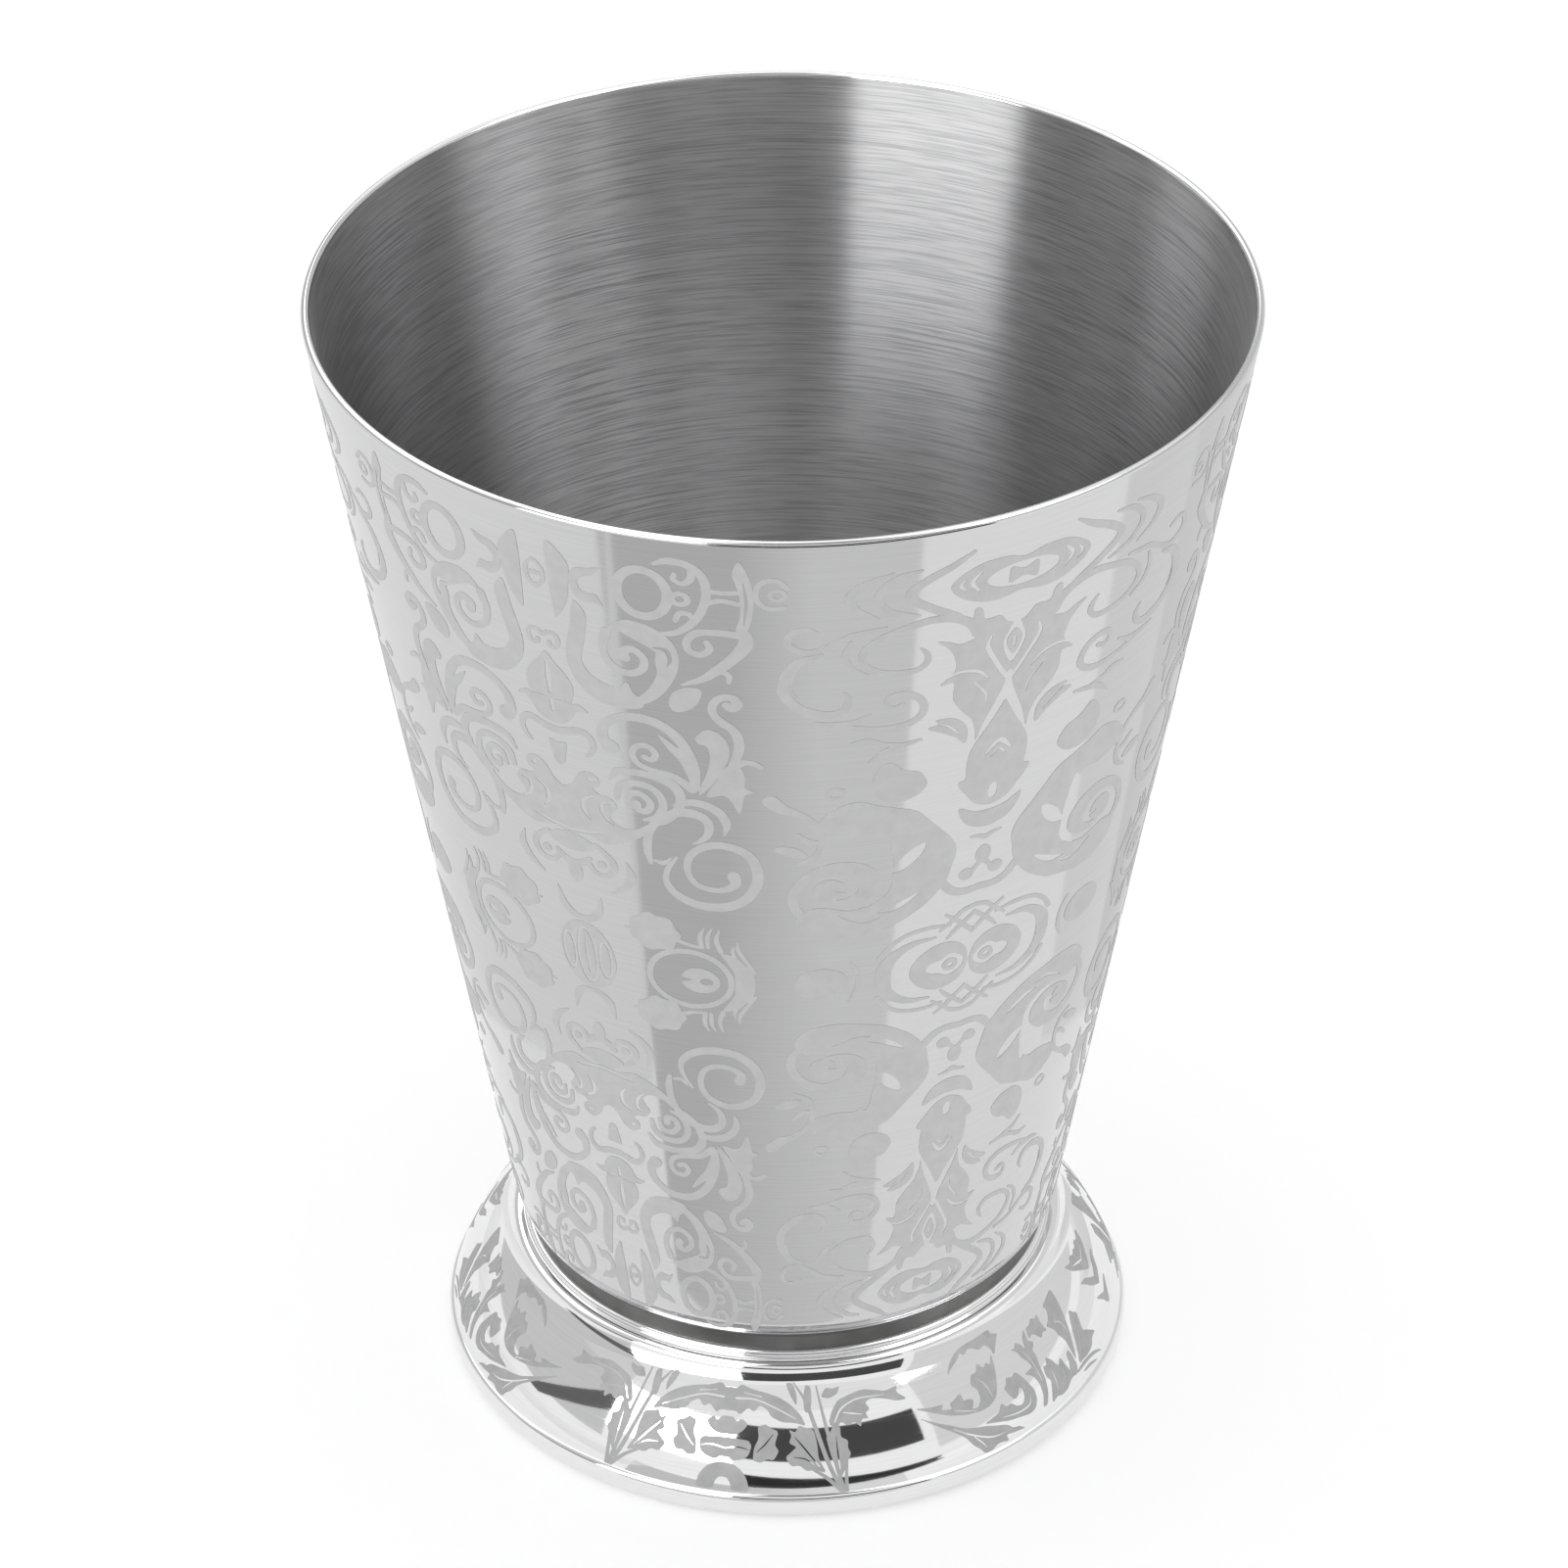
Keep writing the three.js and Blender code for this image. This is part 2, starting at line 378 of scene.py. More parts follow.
def panelOne():
    # first panel: right half above the middle line, x from its axis, y from the middle line
    parts, etch, clear = sketch()
    # twin leaves and eye
    etch(blob((1.35, 48.6), (2.4, 47.6), (3.05, 46.2), (2.9, 44.3), (2.7, 42.5), (2.2, 41), (1.45, 39.9),
              (1.3, 41.5), (1.2, 44), (1.15, 46.5)))
    etch(blob((0, 46.1), (0.8, 45.2), (0.95, 44.4), (0.8, 43.5), (0, 42.6), (-0.8, 43.5), (-0.95, 44.4),
              (-0.8, 45.2)))
    clear(oval(0, 44.4, 0.55, 1.2, count=16))
    etch(oval(0, 44.4, 0.6, 0.3, count=12))
    # forked horn
    etch(blob((5.5, 46.8), (4.9, 45.8), (4.2, 45.5), (3.75, 45), (3.65, 44.4), (3.9, 43.8), (4.5, 43.6),
              (5.1, 43.6), (5.6, 42.3), (5, 42.7), (4.2, 42.5), (3.5, 42.9), (3.1, 43.6), (2.95, 44.6),
              (3.1, 45.6), (3.7, 46.3), (4.6, 46.5)))
    # ring with its bow and curls
    parts.extend(hoop(8.75, 44.85, 1.95, 2.65, 0.85))
    etch(stroke((9.8, 48.4), (10.8, 48.9), (12.2, 48.7), (13.3, 47.5), (13.6, 45.6), (13.2, 43.6),
                (12.4, 42), (11.2, 40.8), (10, 40.4),
                width=(0.35, 0.7, 0.75, 0.75, 0.7, 0.7, 0.7, 0.6, 0.4)))
    etch(stroke((12.5, 48.3), (12.5, 47.2), (11.9, 46.5), (11.2, 46.9), (11.3, 47.5),
                width=(0.5, 0.6, 0.5, 0.45, 0.4)))
    parts.extend(hoop(11.6, 44.7, 0.6, 0.6, 0.5))
    etch(stroke((11.2, 42.2), (11.5, 43), (12.2, 43.1), (12.6, 42.4), width=(0.45, 0.5, 0.5, 0.4)))
    etch(stroke((13.4, 46), (14.6, 45.8), (15.8, 45.9), width=0.5))
    etch(stroke((13.3, 44.3), (14.6, 44.9), (16, 44.6), width=0.5))
    # sabre leaf and the scroll below it
    etch(blob((15.95, 49.4), (16.6, 48), (17, 46), (17, 44), (16.7, 42), (16.1, 40.4), (15.7, 41.6),
              (16, 43), (16.05, 45), (15.8, 46.6), (15.5, 48)))
    clear(stroke((16.3, 47), (16.5, 44.6), (16.3, 42.3), width=(0.1, 0.28, 0.1)))
    etch(stroke((16.4, 41.2), (16.4, 39.9), (15.4, 38.2), (14.3, 36.9), (13.1, 35.7), (11.5, 34.8),
                width=(0.9, 1.2, 1.0, 0.9, 0.7, 0.3)))
    etch(stroke((13.5, 36.2), (14.5, 36.7), (15.1, 36.3), (15.1, 35.5), width=(0.6, 0.6, 0.5, 0.35)))
    etch(stroke((16.2, 41), (14.4, 41.2), (12.8, 41), (12, 40), (12.1, 38.9), (13, 38.5), (13.7, 39.2),
                (13.5, 40), width=(0.8, 0.7, 0.7, 0.65, 0.65, 0.65, 0.6, 0.5)))
    # comma acanthus with its spiral
    etch(blob((5.5, 39.2), (6.1, 40.6), (7.3, 41.4), (8.9, 41.2), (10.2, 40.4), (11.1, 39), (11.3, 37.3),
              (10.9, 35.5), (10, 33.6), (8.8, 32.2), (7.4, 31.4), (6, 31.1), (7.2, 32), (8.2, 33),
              (9, 34.3), (9.5, 35.7), (9.4, 37.2), (9.5, 38.2), (8.7, 38.8), (7.5, 39.5), (6.4, 40)))
    clear(stroke((9.4, 38.7), (10.3, 38.6), (10.6, 37.6), (10.4, 36.8), width=(0.2, 0.4, 0.35, 0.15)))
    etch(stroke((5.6, 39.6), (5.2, 37.8), (5.7, 36), (7.1, 35.2), (8.3, 35.9), (8.5, 37.2), (7.7, 38.1),
                (6.9, 37.7), (7, 37), width=(0.9, 0.7, 0.7, 0.7, 0.7, 0.7, 0.75, 0.9, 1.0)))
    # flame horn running into a boat
    etch(blob((3.2, 42.4), (4, 41.2), (3.95, 39.5), (3.6, 37.5), (3.3, 36), (3.4, 35), (4, 34), (5, 33.4),
              (6.2, 33.3), (7, 34.1), (7.4, 33), (8.2, 32.2), (8, 31.3), (6.5, 30.9), (5, 31),
              (3.7, 31.6), (2.5, 33.2), (1.95, 35.2), (2.15, 37.3), (2.6, 39.5), (2.85, 41.3)))
    # double curl, bud, tulip
    etch(stroke((0, 37.3), (0.5, 37.7), (1.1, 37.6), (1.35, 37), (1.1, 36.2), (0.6, 36.2), (0.5, 36.6),
                width=0.45))
    etch(blob((0, 35.4), (0.7, 34.4), (1.5, 33.4), (2.1, 32.2), (2.15, 31), (1.9, 30), (2.6, 29.95),
              (3.3, 29.3), (2.6, 29.25), (2.1, 28.9), (1.7, 28), (1, 27.3), (0, 27), (-1, 27.3),
              (-1.7, 28), (-2, 29), (-1.9, 30), (-2.1, 32.2), (-0.7, 34.4)))
    clear(stroke((0, 34.2), (0, 32.4), (0, 30.6), width=(0.2, 0.5, 0.3)))
    clear(stroke((0, 29.6), (0, 28.5), width=(0.4, 0.3)))
    clear(stroke((0.5, 30), (1.2, 30.05), (2, 29.9), width=0.16))
    # crossbar with scroll ends, wedge
    etch(stroke((-1.2, 26.4), (0, 26.2), (1.2, 26.4), (2.2, 26.8), (3, 26.5), (3.4, 25.6), (3.2, 24.6),
                (2.7, 24), width=(0.8, 0.8, 0.8, 0.75, 0.7, 0.6, 0.55, 0.4)))
    etch(blob((0.8, 24.8), (0.7, 23.6), (0.45, 22.4), (0, 22.1), (-0.45, 22.4), (-0.7, 23.6),
              (-0.8, 24.8), (0, 24.7)))
    # arch with bulb end, feathers and inner spiral
    etch(stroke((5, 25.9), (4.4, 26.8), (4.6, 28.3), (5.9, 29.6), (7.6, 30.1), (9.4, 29.7), (10.8, 28.4),
                (11.6, 26.7), (12, 24.8), (12.1, 22.6),
                width=(1.6, 1.1, 0.9, 0.9, 0.95, 1, 1, 1, 1.1, 0.8)))
    etch(blob((9.2, 28.5), (10, 26.9), (10.9, 25.6), (11.6, 23.6), (12.3, 22.2), (12.4, 24), (11.8, 26.4),
              (10.8, 27.2), (9.9, 28)))
    etch(stroke((11.8, 22.4), (10.4, 23.6), (8.6, 24), (7.3, 24.6), (6.9, 25.7), (7.4, 26.7), (8.4, 26.8),
                (8.9, 26), (8.5, 25.3), (7.9, 25.5),
                width=(0.9, 0.8, 0.65, 0.6, 0.6, 0.6, 0.6, 0.6, 0.6, 0.6)))
    # hooked plume
    etch(blob((12.3, 28.7), (13.2, 29.7), (14.2, 29.4), (14.9, 28.2), (14.95, 26.6), (14.3, 24.8),
              (13.4, 23), (12.4, 21.8), (12.6, 23), (13.1, 24.5), (13.4, 26.2), (13.3, 27.5),
              (12.9, 27.9), (12.5, 28)))
    # stem with bulb, leaf cluster
    etch(stroke((15.2, 25.6), (15.6, 26.8), (15.8, 28.3), (15.4, 29.8), (14.4, 30.8), (13.8, 31.7),
                (13.8, 32.8), (14.4, 33.6), (15.3, 33.7), (15.7, 33), (15.3, 32.5), (14.9, 32.8),
                width=(0.7, 0.8, 0.85, 0.8, 0.8, 0.7, 0.7, 0.7, 0.8, 0.9, 0.9, 0.8)))
    etch(blob((14.6, 25.4), (15.7, 25.6), (16.2, 24.4), (16.2, 23.1), (16.9, 22.6), (16.2, 22.2),
              (16, 21.2), (15.7, 19.9), (15.1, 21.3), (14.4, 22), (13, 21.7), (13.8, 23.6)))
    etch(stroke((15.4, 25.5), (16.2, 26.1), (17, 26), (17.5, 25.6), width=(0.6, 0.55, 0.55, 0.5)))
    etch(blob((10.3, 32.3), (10.6, 33.6), (11.6, 34.4), (12.9, 34.4), (12.7, 33), (11.9, 31.9),
              (10.8, 31.5)))
    # shell rosette
    etch(stroke((4.6, 21.9), (5.3, 23), (6.8, 23.4), (8.6, 23.3), (10.2, 22.6), (10.8, 21.2),
                (10.4, 19.6), (9.4, 18.2), (8.2, 17.3),
                width=(0.3, 0.8, 0.8, 0.85, 1, 0.9, 0.8, 0.7, 0.3)))
    etch(stroke((5.1, 19.8), (5.4, 21.2), (6.5, 22), (8, 22), (9, 21.1), (9.2, 19.7), (8.5, 18.3),
                (7.4, 17.8), width=(0.5, 0.75, 0.75, 0.75, 0.75, 0.75, 0.7, 0.3)))
    etch(stroke((6, 19.4), (6.3, 20.6), (7.3, 20.9), (8.1, 20), (7.8, 19), (7, 18.9), (6.9, 19.6),
                width=(0.4, 0.65, 0.7, 0.7, 0.7, 0.7, 0.8)))
    # wing with its curls
    etch(blob((0, 19.5), (0.9, 20.2), (1.5, 21.4), (2.5, 22.1), (3.5, 21.6), (3.5, 20.7), (2.9, 20.2),
              (3.4, 19.7), (4.5, 19.5), (5, 18.6), (4.6, 17.9), (4.3, 17), (5.2, 16.2), (6.6, 16.4),
              (7.8, 17.3), (7.3, 15.9), (6, 14.8), (4.4, 13.9), (3.4, 13.7), (1.8, 14.2), (0, 14),
              (-1.5, 14.2), (-1.8, 17), (-1, 19.8)))
    clear(stroke((2.8, 19.2), (1.9, 18.5), (1.75, 17.3), (2.3, 16.3), width=(0.25, 0.4, 0.45, 0.1)))
    clear(oval(2.75, 21.2, 0.3, 0.25, count=10))
    clear(stroke((4.4, 18.8), (3.7, 18.7), (3.5, 17.9), (3.9, 16.9), (4.6, 16.3),
                 width=(0.15, 0.3, 0.35, 0.3, 0.1)))
    clear(stroke((-1.2, 14.4), (0, 14.3), (1.5, 14.5), (3.4, 14.9), width=(0.4, 0.4, 0.45, 0.2)))
    # lens, bracket and pendant on the axis
    etch(blob((0, 13.9), (1.4, 13.6), (2.5, 12.8), (1.5, 12), (0, 11.7), (-1.4, 12), (-2.4, 12.8),
              (-1.4, 13.6)))
    etch(stroke((-1, 10.5), (0, 10.1), (1, 10.5), (1.7, 11.2), width=(0.8, 0.9, 0.8, 0.5)))
    etch(stroke((1.5, 10.6), (2.2, 9.7), (3.2, 9.6), (4, 10.4), (4, 11.5), (3.3, 12.4), (2.4, 13.2),
                width=(0.6, 0.55, 0.6, 0.7, 0.7, 0.6, 0.3)))
    etch(oval(2.85, 10.85, 0.5, 0.5, count=14))
    etch(blob((0.6, 9.8), (0.65, 8.6), (0, 7.8), (-0.65, 8.6), (-0.6, 9.8)))
    etch(stroke((5.3, 11.9), (5.7, 10.3), (5, 8.8), (3.6, 7.6), width=(0.2, 0.85, 0.75, 0.2)))
    # egg ring and leaf scroll
    etch(stroke((7.7, 12.7), (7.5, 14.3), (7.8, 16.4), (8.8, 18.2), (10.4, 19.3), (12, 19.4), (13, 18.6),
                (13, 17.2), (12.4, 16.3), (11.7, 15.8),
                width=(0.5, 0.8, 0.8, 0.8, 0.9, 1, 0.85, 0.7, 0.5, 0.2)))
    etch(stroke((10.2, 20.2), (11.8, 20.8), (13.2, 20.5), (14.2, 19.6), (14.6, 18.4), (14.4, 17.2),
                width=(0.3, 0.8, 0.9, 0.9, 0.7, 0.2)))
    etch(stroke((8.1, 13), (8.9, 12.9), (9.6, 13.6), width=(0.3, 0.5, 0.2)))
    # large scroll
    etch(stroke((10.1, 13.8), (9.3, 12.4), (9, 11), (9.4, 9.8), (10.5, 8.8), (12.3, 8.2), (14.6, 8.4),
                (16.4, 9.8), (17.2, 12), (16.9, 14), (15.9, 15.3), (14.1, 15.9), (12.4, 15.4),
                (11.3, 14.2), (11, 12.6), (11.5, 11.1), (12.6, 10.4), (14.1, 10.4), (15.2, 11.2),
                (15.1, 12.2), width=(0.3, 0.5, 0.6, 0.8, 0.9, 1, 1, 1, 1, 0.95, 0.9, 0.85, 0.8, 0.7, 0.65,
                                     0.6, 0.6, 0.65, 0.9, 1.2)))
    # flower, oval medallion, hair strokes
    etch(oval(7.4, 4, 2.45, 2.25, 7, 0.07, 42))
    etch(stroke((9.4, 3.6), (10.6, 3.1), (12, 2.9), width=(0.6, 0.4, 0.3)))
    etch(stroke((5.4, 3.8), (4.5, 3.9), width=(0.5, 0.1)))
    parts.extend(hoop(10.6, -1.4, 4, 3.6, 0.6))
    etch(oval(11.6, -1.4, 1.9, 1.6))
    clear(oval(12.2, -1.4, 0.65, 0.45, count=14))
    clear(stroke((9.5, -1.4), (10.7, -1.4), width=(0.9, 0.2)))
    etch(blob((13.7, 2.4), (15, 2.1), (15.9, 1.2), (16.6, 0.2), (16.8, -1.4), (16, -2), (15, -1.4),
              (14.9, 0), (14.3, 1.2)))
    etch(stroke((11.9, 3), (11.8, 4.3), (12.2, 5.4), width=(0.5, 0.45, 0.15)))
    etch(stroke((12.5, 3), (12.5, 4.4), (12.9, 5.4), width=(0.4, 0.4, 0.15)))
    etch(stroke((13.7, 2.6), (13.3, 4), (13.6, 5.3), width=(0.5, 0.45, 0.15)))
    etch(stroke((16.8, 0.2), (15.9, 1.8), (15.3, 3), (15.3, 4), width=(0.4, 0.45, 0.4, 0.15)))
    etch(stroke((16.2, 0.2), (15.2, 1.6), (14.8, 2.6), (14.9, 3.4), width=(0.4, 0.4, 0.35, 0.15)))
    # horns and petalled medallion on the axis
    etch(stroke((-1, 3.6), (0, 3.4), (1, 3.6), (1.9, 4.6), (2.3, 6.5), width=(0.6, 0.55, 0.8, 0.85, 0.1)))
    etch(oval(0, -1.4, 3.1, 4.3))
    clear(oval(0, -1.4, 1.15, 3.7))
    etch(oval(0, -1.4, 0.85, 3.3))
    clear(oval(2, -1.4, 0.8, 2.5))
    etch(oval(2, -1.4, 0.5, 2.1))
    clear(stroke((0, 0.8), (0, -1.4), width=(0.15, 0.35)))
    return parts


def panelTwo():
    # second panel: half above the middle line, x from its axis, y from the middle line
    parts, etch, clear = sketch()
    # bow-tie cartouche
    etch(blob((0, 46.4), (1.6, 46.9), (3.6, 46.8), (5.3, 45.8), (6, 44.7), (5.2, 43.4), (3.5, 42.4),
              (1.8, 42.2), (0, 42.6), (-1.8, 42.2), (-3, 44.6), (-1.6, 46.9)))
    clear(oval(0, 44.6, 3.1, 1.35))
    etch(blob((0, 45), (1.1, 45.5), (1.25, 44.6), (1.1, 43.7), (0, 44.2), (-1.1, 43.7), (-1.2, 44.6),
              (-1.1, 45.5)))
    clear(stroke((3.6, 45.9), (4.3, 44.8), (3.7, 43.7), width=(0.15, 0.4, 0.15)))
    clear(stroke((4.8, 45.4), (5.2, 44.7), (4.8, 44), width=(0.1, 0.3, 0.1)))
    # arrow swooshes
    etch(stroke((4.4, 48.4), (6, 47.2), (7.7, 46.2), (8.9, 45.2), (9.1, 44.6), (8.6, 43.8), (7, 42.5),
                (5.4, 41.4), (4.5, 40.6), width=(0.3, 0.7, 0.8, 0.8, 0.8, 0.8, 0.8, 0.7, 0.5)))
    etch(stroke((8.4, 47.3), (10, 46.9), (11.2, 45.8), (11.5, 44.6), (10.8, 43.3), (9.6, 42.6),
                (8.3, 42.2), width=(0.3, 0.6, 0.65, 0.65, 0.6, 0.5, 0.3)))
    etch(stroke((10.5, 47.4), (12.4, 46.6), (13.6, 45.3), (13.1, 43.7), (11.4, 42.4),
                width=(0.25, 0.6, 0.8, 0.6, 0.25)))
    # three-shaped curl at the outer edge
    etch(stroke((18.2, 46.5), (19, 47.4), (20.1, 47.1), (20.5, 46), (20.3, 44.9), (19.5, 44.2),
                (18.4, 44.3), width=0.45))
    parts.extend(hoop(18.9, 45.7, 0.55, 0.55, 0.35))
    # ogee leaves and the crossing lines of the axis
    etch(blob((0.8, 39.2), (1.6, 40.2), (2.8, 40.2), (3.2, 41.5), (3.8, 41.6), (3.8, 39.8), (3.4, 38.4),
              (4.6, 37.9), (5.6, 38.4), (6.6, 38.7), (5.7, 37.7), (5.1, 36.5), (4.9, 34.9), (6, 33.5),
              (4.9, 33.5), (4.8, 31.5), (4, 30), (3, 28.7), (2.5, 27.2), (2.3, 26), (1.5, 28.4),
              (0.6, 30.9), (0, 31.2), (-0.6, 31), (-1, 33), (-0.6, 36), (0, 38.6)))
    clear(stroke((5.6, 34.2), (4.4, 34.6), (2.9, 34.2), (1.9, 33.1), width=(0.25, 0.35, 0.35, 0.1)))
    clear(stroke((3.1, 33), (2, 31.4), (1.8, 30.2), width=(0.1, 0.2, 0.1)))
    clear(stroke((2.1, 38), (2.3, 36.8), (1.5, 35), (0.5, 33.1), (-0.3, 32),
                 width=(0.2, 0.4, 0.4, 0.4, 0.4)))
    clear(stroke((0, 33.2), (0.1, 31.6), (0.8, 29.9), (1.6, 28), (2.2, 26),
                 width=(0.5, 0.7, 0.5, 0.4, 0.3)))
    clear(blob((0, 39.6), (0.7, 38), (1, 36.9), (0.7, 35.6), (0, 34.3), (-0.7, 35.6), (-1, 36.9),
               (-0.7, 38)))
    etch(blob((0, 38.2), (0.65, 37.2), (0.5, 36.1), (0, 35.2), (-0.5, 36.1), (-0.65, 37.2)))
    clear(stroke((0, 37.2), (0, 36.2), width=0.22))
    # pod with chevrons and crescent
    etch(blob((0, 29.9), (0.5, 29), (1.2, 27.6), (2, 26.2), (2.7, 24.6), (2.85, 22.8), (2.8, 21.5),
              (3.4, 21.2), (3.2, 20.4), (2.6, 19.6), (1.8, 18.4), (0.8, 17.8), (0, 17.6), (-0.8, 17.8),
              (-2.6, 19.6), (-2.8, 22.8), (-2, 26.2), (-0.5, 29)))
    clear(stroke((-1.2, 23.9), (0, 25.2), (1.2, 23.9), width=(0.15, 0.6, 0.15), steps=3))
    clear(stroke((-0.7, 23.5), (0, 24.2), (0.7, 23.5), width=(0.1, 0.25, 0.1), steps=3))
    clear(oval(0, 19.3, 0.45, 0.95, count=14))
    etch(blob((0, 17), (1.5, 17.2), (3, 18), (2.7, 16.6), (1.7, 15.5), (0, 15), (-1.7, 15.5),
              (-2.7, 16.6), (-1.5, 17.2)))
    etch(stroke((-0.8, 14.1), (0, 13.7), (0.8, 14), (1.5, 14.1), width=(0.4, 0.6, 0.4, 0.2)))
    # club
    etch(oval(0, 11.6, 0.8, 1.1, count=16))
    etch(stroke((0, 11), (0.5, 10.4), (0.9, 9.9), width=0.5))
    etch(oval(1.5, 9.6, 0.75, 0.7, count=16))
    etch(stroke((-1, 7.6), (0, 7.6), (1.5, 7.5), (2.8, 8), (3.8, 9.2), width=(0.8, 0.8, 0.8, 0.9, 0.9)))
    # small leaf, sprigs, round bud
    etch(blob((3.3, 26), (3.2, 27.6), (3.9, 28.8), (5, 29.4), (6.1, 29.4), (5.8, 28.9), (6.7, 28.6),
              (5.6, 27.9), (4.3, 27)))
    clear(stroke((3.9, 27.2), (4.8, 28.3), (5.7, 28.9), width=(0.1, 0.2, 0.1)))
    etch(stroke((7.2, 27.5), (8.8, 27.2), (10.4, 26.6), (11.4, 25.6), width=(0.3, 0.55, 0.55, 0.2)))
    etch(stroke((8.8, 27.3), (10.4, 27.6), (11.6, 28.2), (12.9, 28.1), width=(0.3, 0.55, 0.6, 0.3)))
    etch(blob((6.3, 22.3), (7, 23.6), (8.4, 24.2), (9.7, 25.3), (10.8, 24.2), (11, 22.6), (10.4, 21.1),
              (9, 20.4), (7.4, 20.7), (6.5, 21.5)))
    parts.extend(hoop(14, 22.2, 0.7, 0.55, 0.35))
    # upper scrolls
    etch(stroke((3.4, 38.8), (4.1, 40.2), (5.5, 41.1), (7.2, 41.4), (9, 41), (10.8, 40.3), (12.1, 39.2),
                (12.5, 38), (12, 36.9), (10.8, 36.1), (9.3, 35.8), (8, 35.9), (7.3, 36.7), (7.4, 37.6),
                (7.9, 38.3), width=(0.9, 0.9, 0.8, 0.8, 0.7, 0.65, 0.65, 0.6, 0.6, 0.6, 0.6, 0.6, 0.6,
                                    0.5, 0.2)))
    etch(stroke((13.4, 40), (13.8, 38.4), (13.2, 36.9), (12, 36), width=(0.3, 0.55, 0.5, 0.3)))
    etch(stroke((10.8, 41.2), (13.2, 40.8), (14.7, 39.9), (16.2, 39.1), (17.5, 39.4), (18.2, 40.3),
                (17.8, 41.4), (16.8, 41.7), (16, 41.3),
                width=(0.4, 0.55, 0.6, 0.65, 0.65, 0.65, 0.6, 0.55, 0.4)))
    etch(stroke((15.6, 38.7), (17.3, 37.9), (18.2, 36.2), (18.2, 34.3), (17.1, 32.6), (15.3, 31.7),
                (13.8, 32), (13.3, 33.2), (13.7, 34.1),
                width=(0.4, 0.9, 1.1, 1.2, 1.1, 0.9, 0.7, 0.6, 0.3)))
    clear(stroke((17.9, 35.6), (17.7, 34.2), (16.8, 33), (15.6, 32.3), width=(0.1, 0.25, 0.25, 0.1)))
    etch(stroke((9, 32), (9.8, 31.7), (10.3, 32.3), (10, 33.1), (8.8, 33.2), (7.6, 32.4), (7.2, 31.1),
                (7.7, 30.1), (9, 29.5), (10.8, 29.5), (12.6, 29.9), (14.5, 30.5),
                width=(0.5, 0.5, 0.5, 0.6, 0.7, 0.7, 0.7, 0.7, 0.7, 0.6, 0.5, 0.25)))
    etch(stroke((11.6, 31.3), (12.8, 30.6), (14.6, 30.5), (16, 30.9), width=(0.3, 0.6, 0.6, 0.2)))
    # acanthus mass
    etch(blob((5.3, 17), (6.8, 18.8), (8.5, 19.6), (10.4, 20.3), (12, 21), (13.8, 20.5), (15.2, 19.2),
              (15.3, 17.8), (14, 17.2), (12.3, 16.8), (10.6, 16.9), (9.4, 15.6), (8.7, 13.6), (8.7, 11),
              (9.3, 9.2), (10.6, 8.2), (12.2, 7.7), (13.6, 8), (15, 8.3), (16.8, 7.8), (17, 6.2),
              (15.8, 4.9), (14, 4.3), (12, 4.3), (10, 4.7), (8, 5.3), (6.5, 6.2), (5.2, 7.2), (4.1, 8.5),
              (3.4, 9.7), (3.1, 11.2), (2.8, 12.8), (3.2, 14.3), (4.3, 15.8)))
    clear(blob((5.9, 14.9), (7.1, 14.3), (8.1, 13.2), (8.8, 11.8), (7.6, 12), (6.5, 13), (5.9, 14)))
    clear(blob((5.9, 8.9), (7.2, 8.3), (8.8, 7.5), (9.8, 7.1), (8.4, 7), (7, 7.7)))
    clear(blob((9.5, 16.9), (9, 15.6), (9, 14.4), (9.6, 13.4), (9.6, 14.8), (10.1, 16)))
    clear(stroke((9.6, 6.4), (11.2, 6.2), (12.6, 6.9), (13.4, 7.3), width=(0.15, 0.35, 0.35, 0.1)))
    # comma spiral
    clear(stroke((16.9, 8), (17.4, 9.8), (16.6, 11.8), (14.6, 13.2), (12, 13.1), (10.3, 11.8), (10, 10.2),
                 (11, 8.9), width=(1.2, 1.6, 1.7, 1.8, 2.2, 2.6, 2.6, 2)))
    etch(stroke((16.2, 6.9), (17.3, 8.6), (17.3, 10.4), (16.1, 12.2), (14, 13.1), (12, 12.7),
                (10.9, 11.6), (10.7, 10.4), (11.3, 9.4), (12.5, 8.9), (14, 8.9),
                width=(0.9, 0.9, 0.95, 1.05, 1.3, 1.8, 2.1, 2, 1.4, 0.9, 0.4)))
    etch(oval(14.2, 10.4, 1.45, 1.35))
    clear(stroke((12.5, 10.2), (13.6, 10.3), width=(0.5, 0.2)))
    # stem with leaf ends
    etch(stroke((19.4, 21.5), (18.4, 20.6), (17, 19.9), (15.8, 18.9), (15.2, 17.6), (15.1, 16),
                (15.7, 14.6), (17, 13.8), width=(1.4, 1.1, 0.7, 0.6, 0.6, 0.6, 0.6, 0.2)))
    etch(stroke((15.3, 16.4), (16.2, 16.6), (17.1, 17.4), width=(0.4, 0.6, 0.4)))
    etch(blob((16.3, 14.9), (17.2, 15.8), (18.6, 16), (19, 15.5), (18, 14.9), (17, 14.6)))
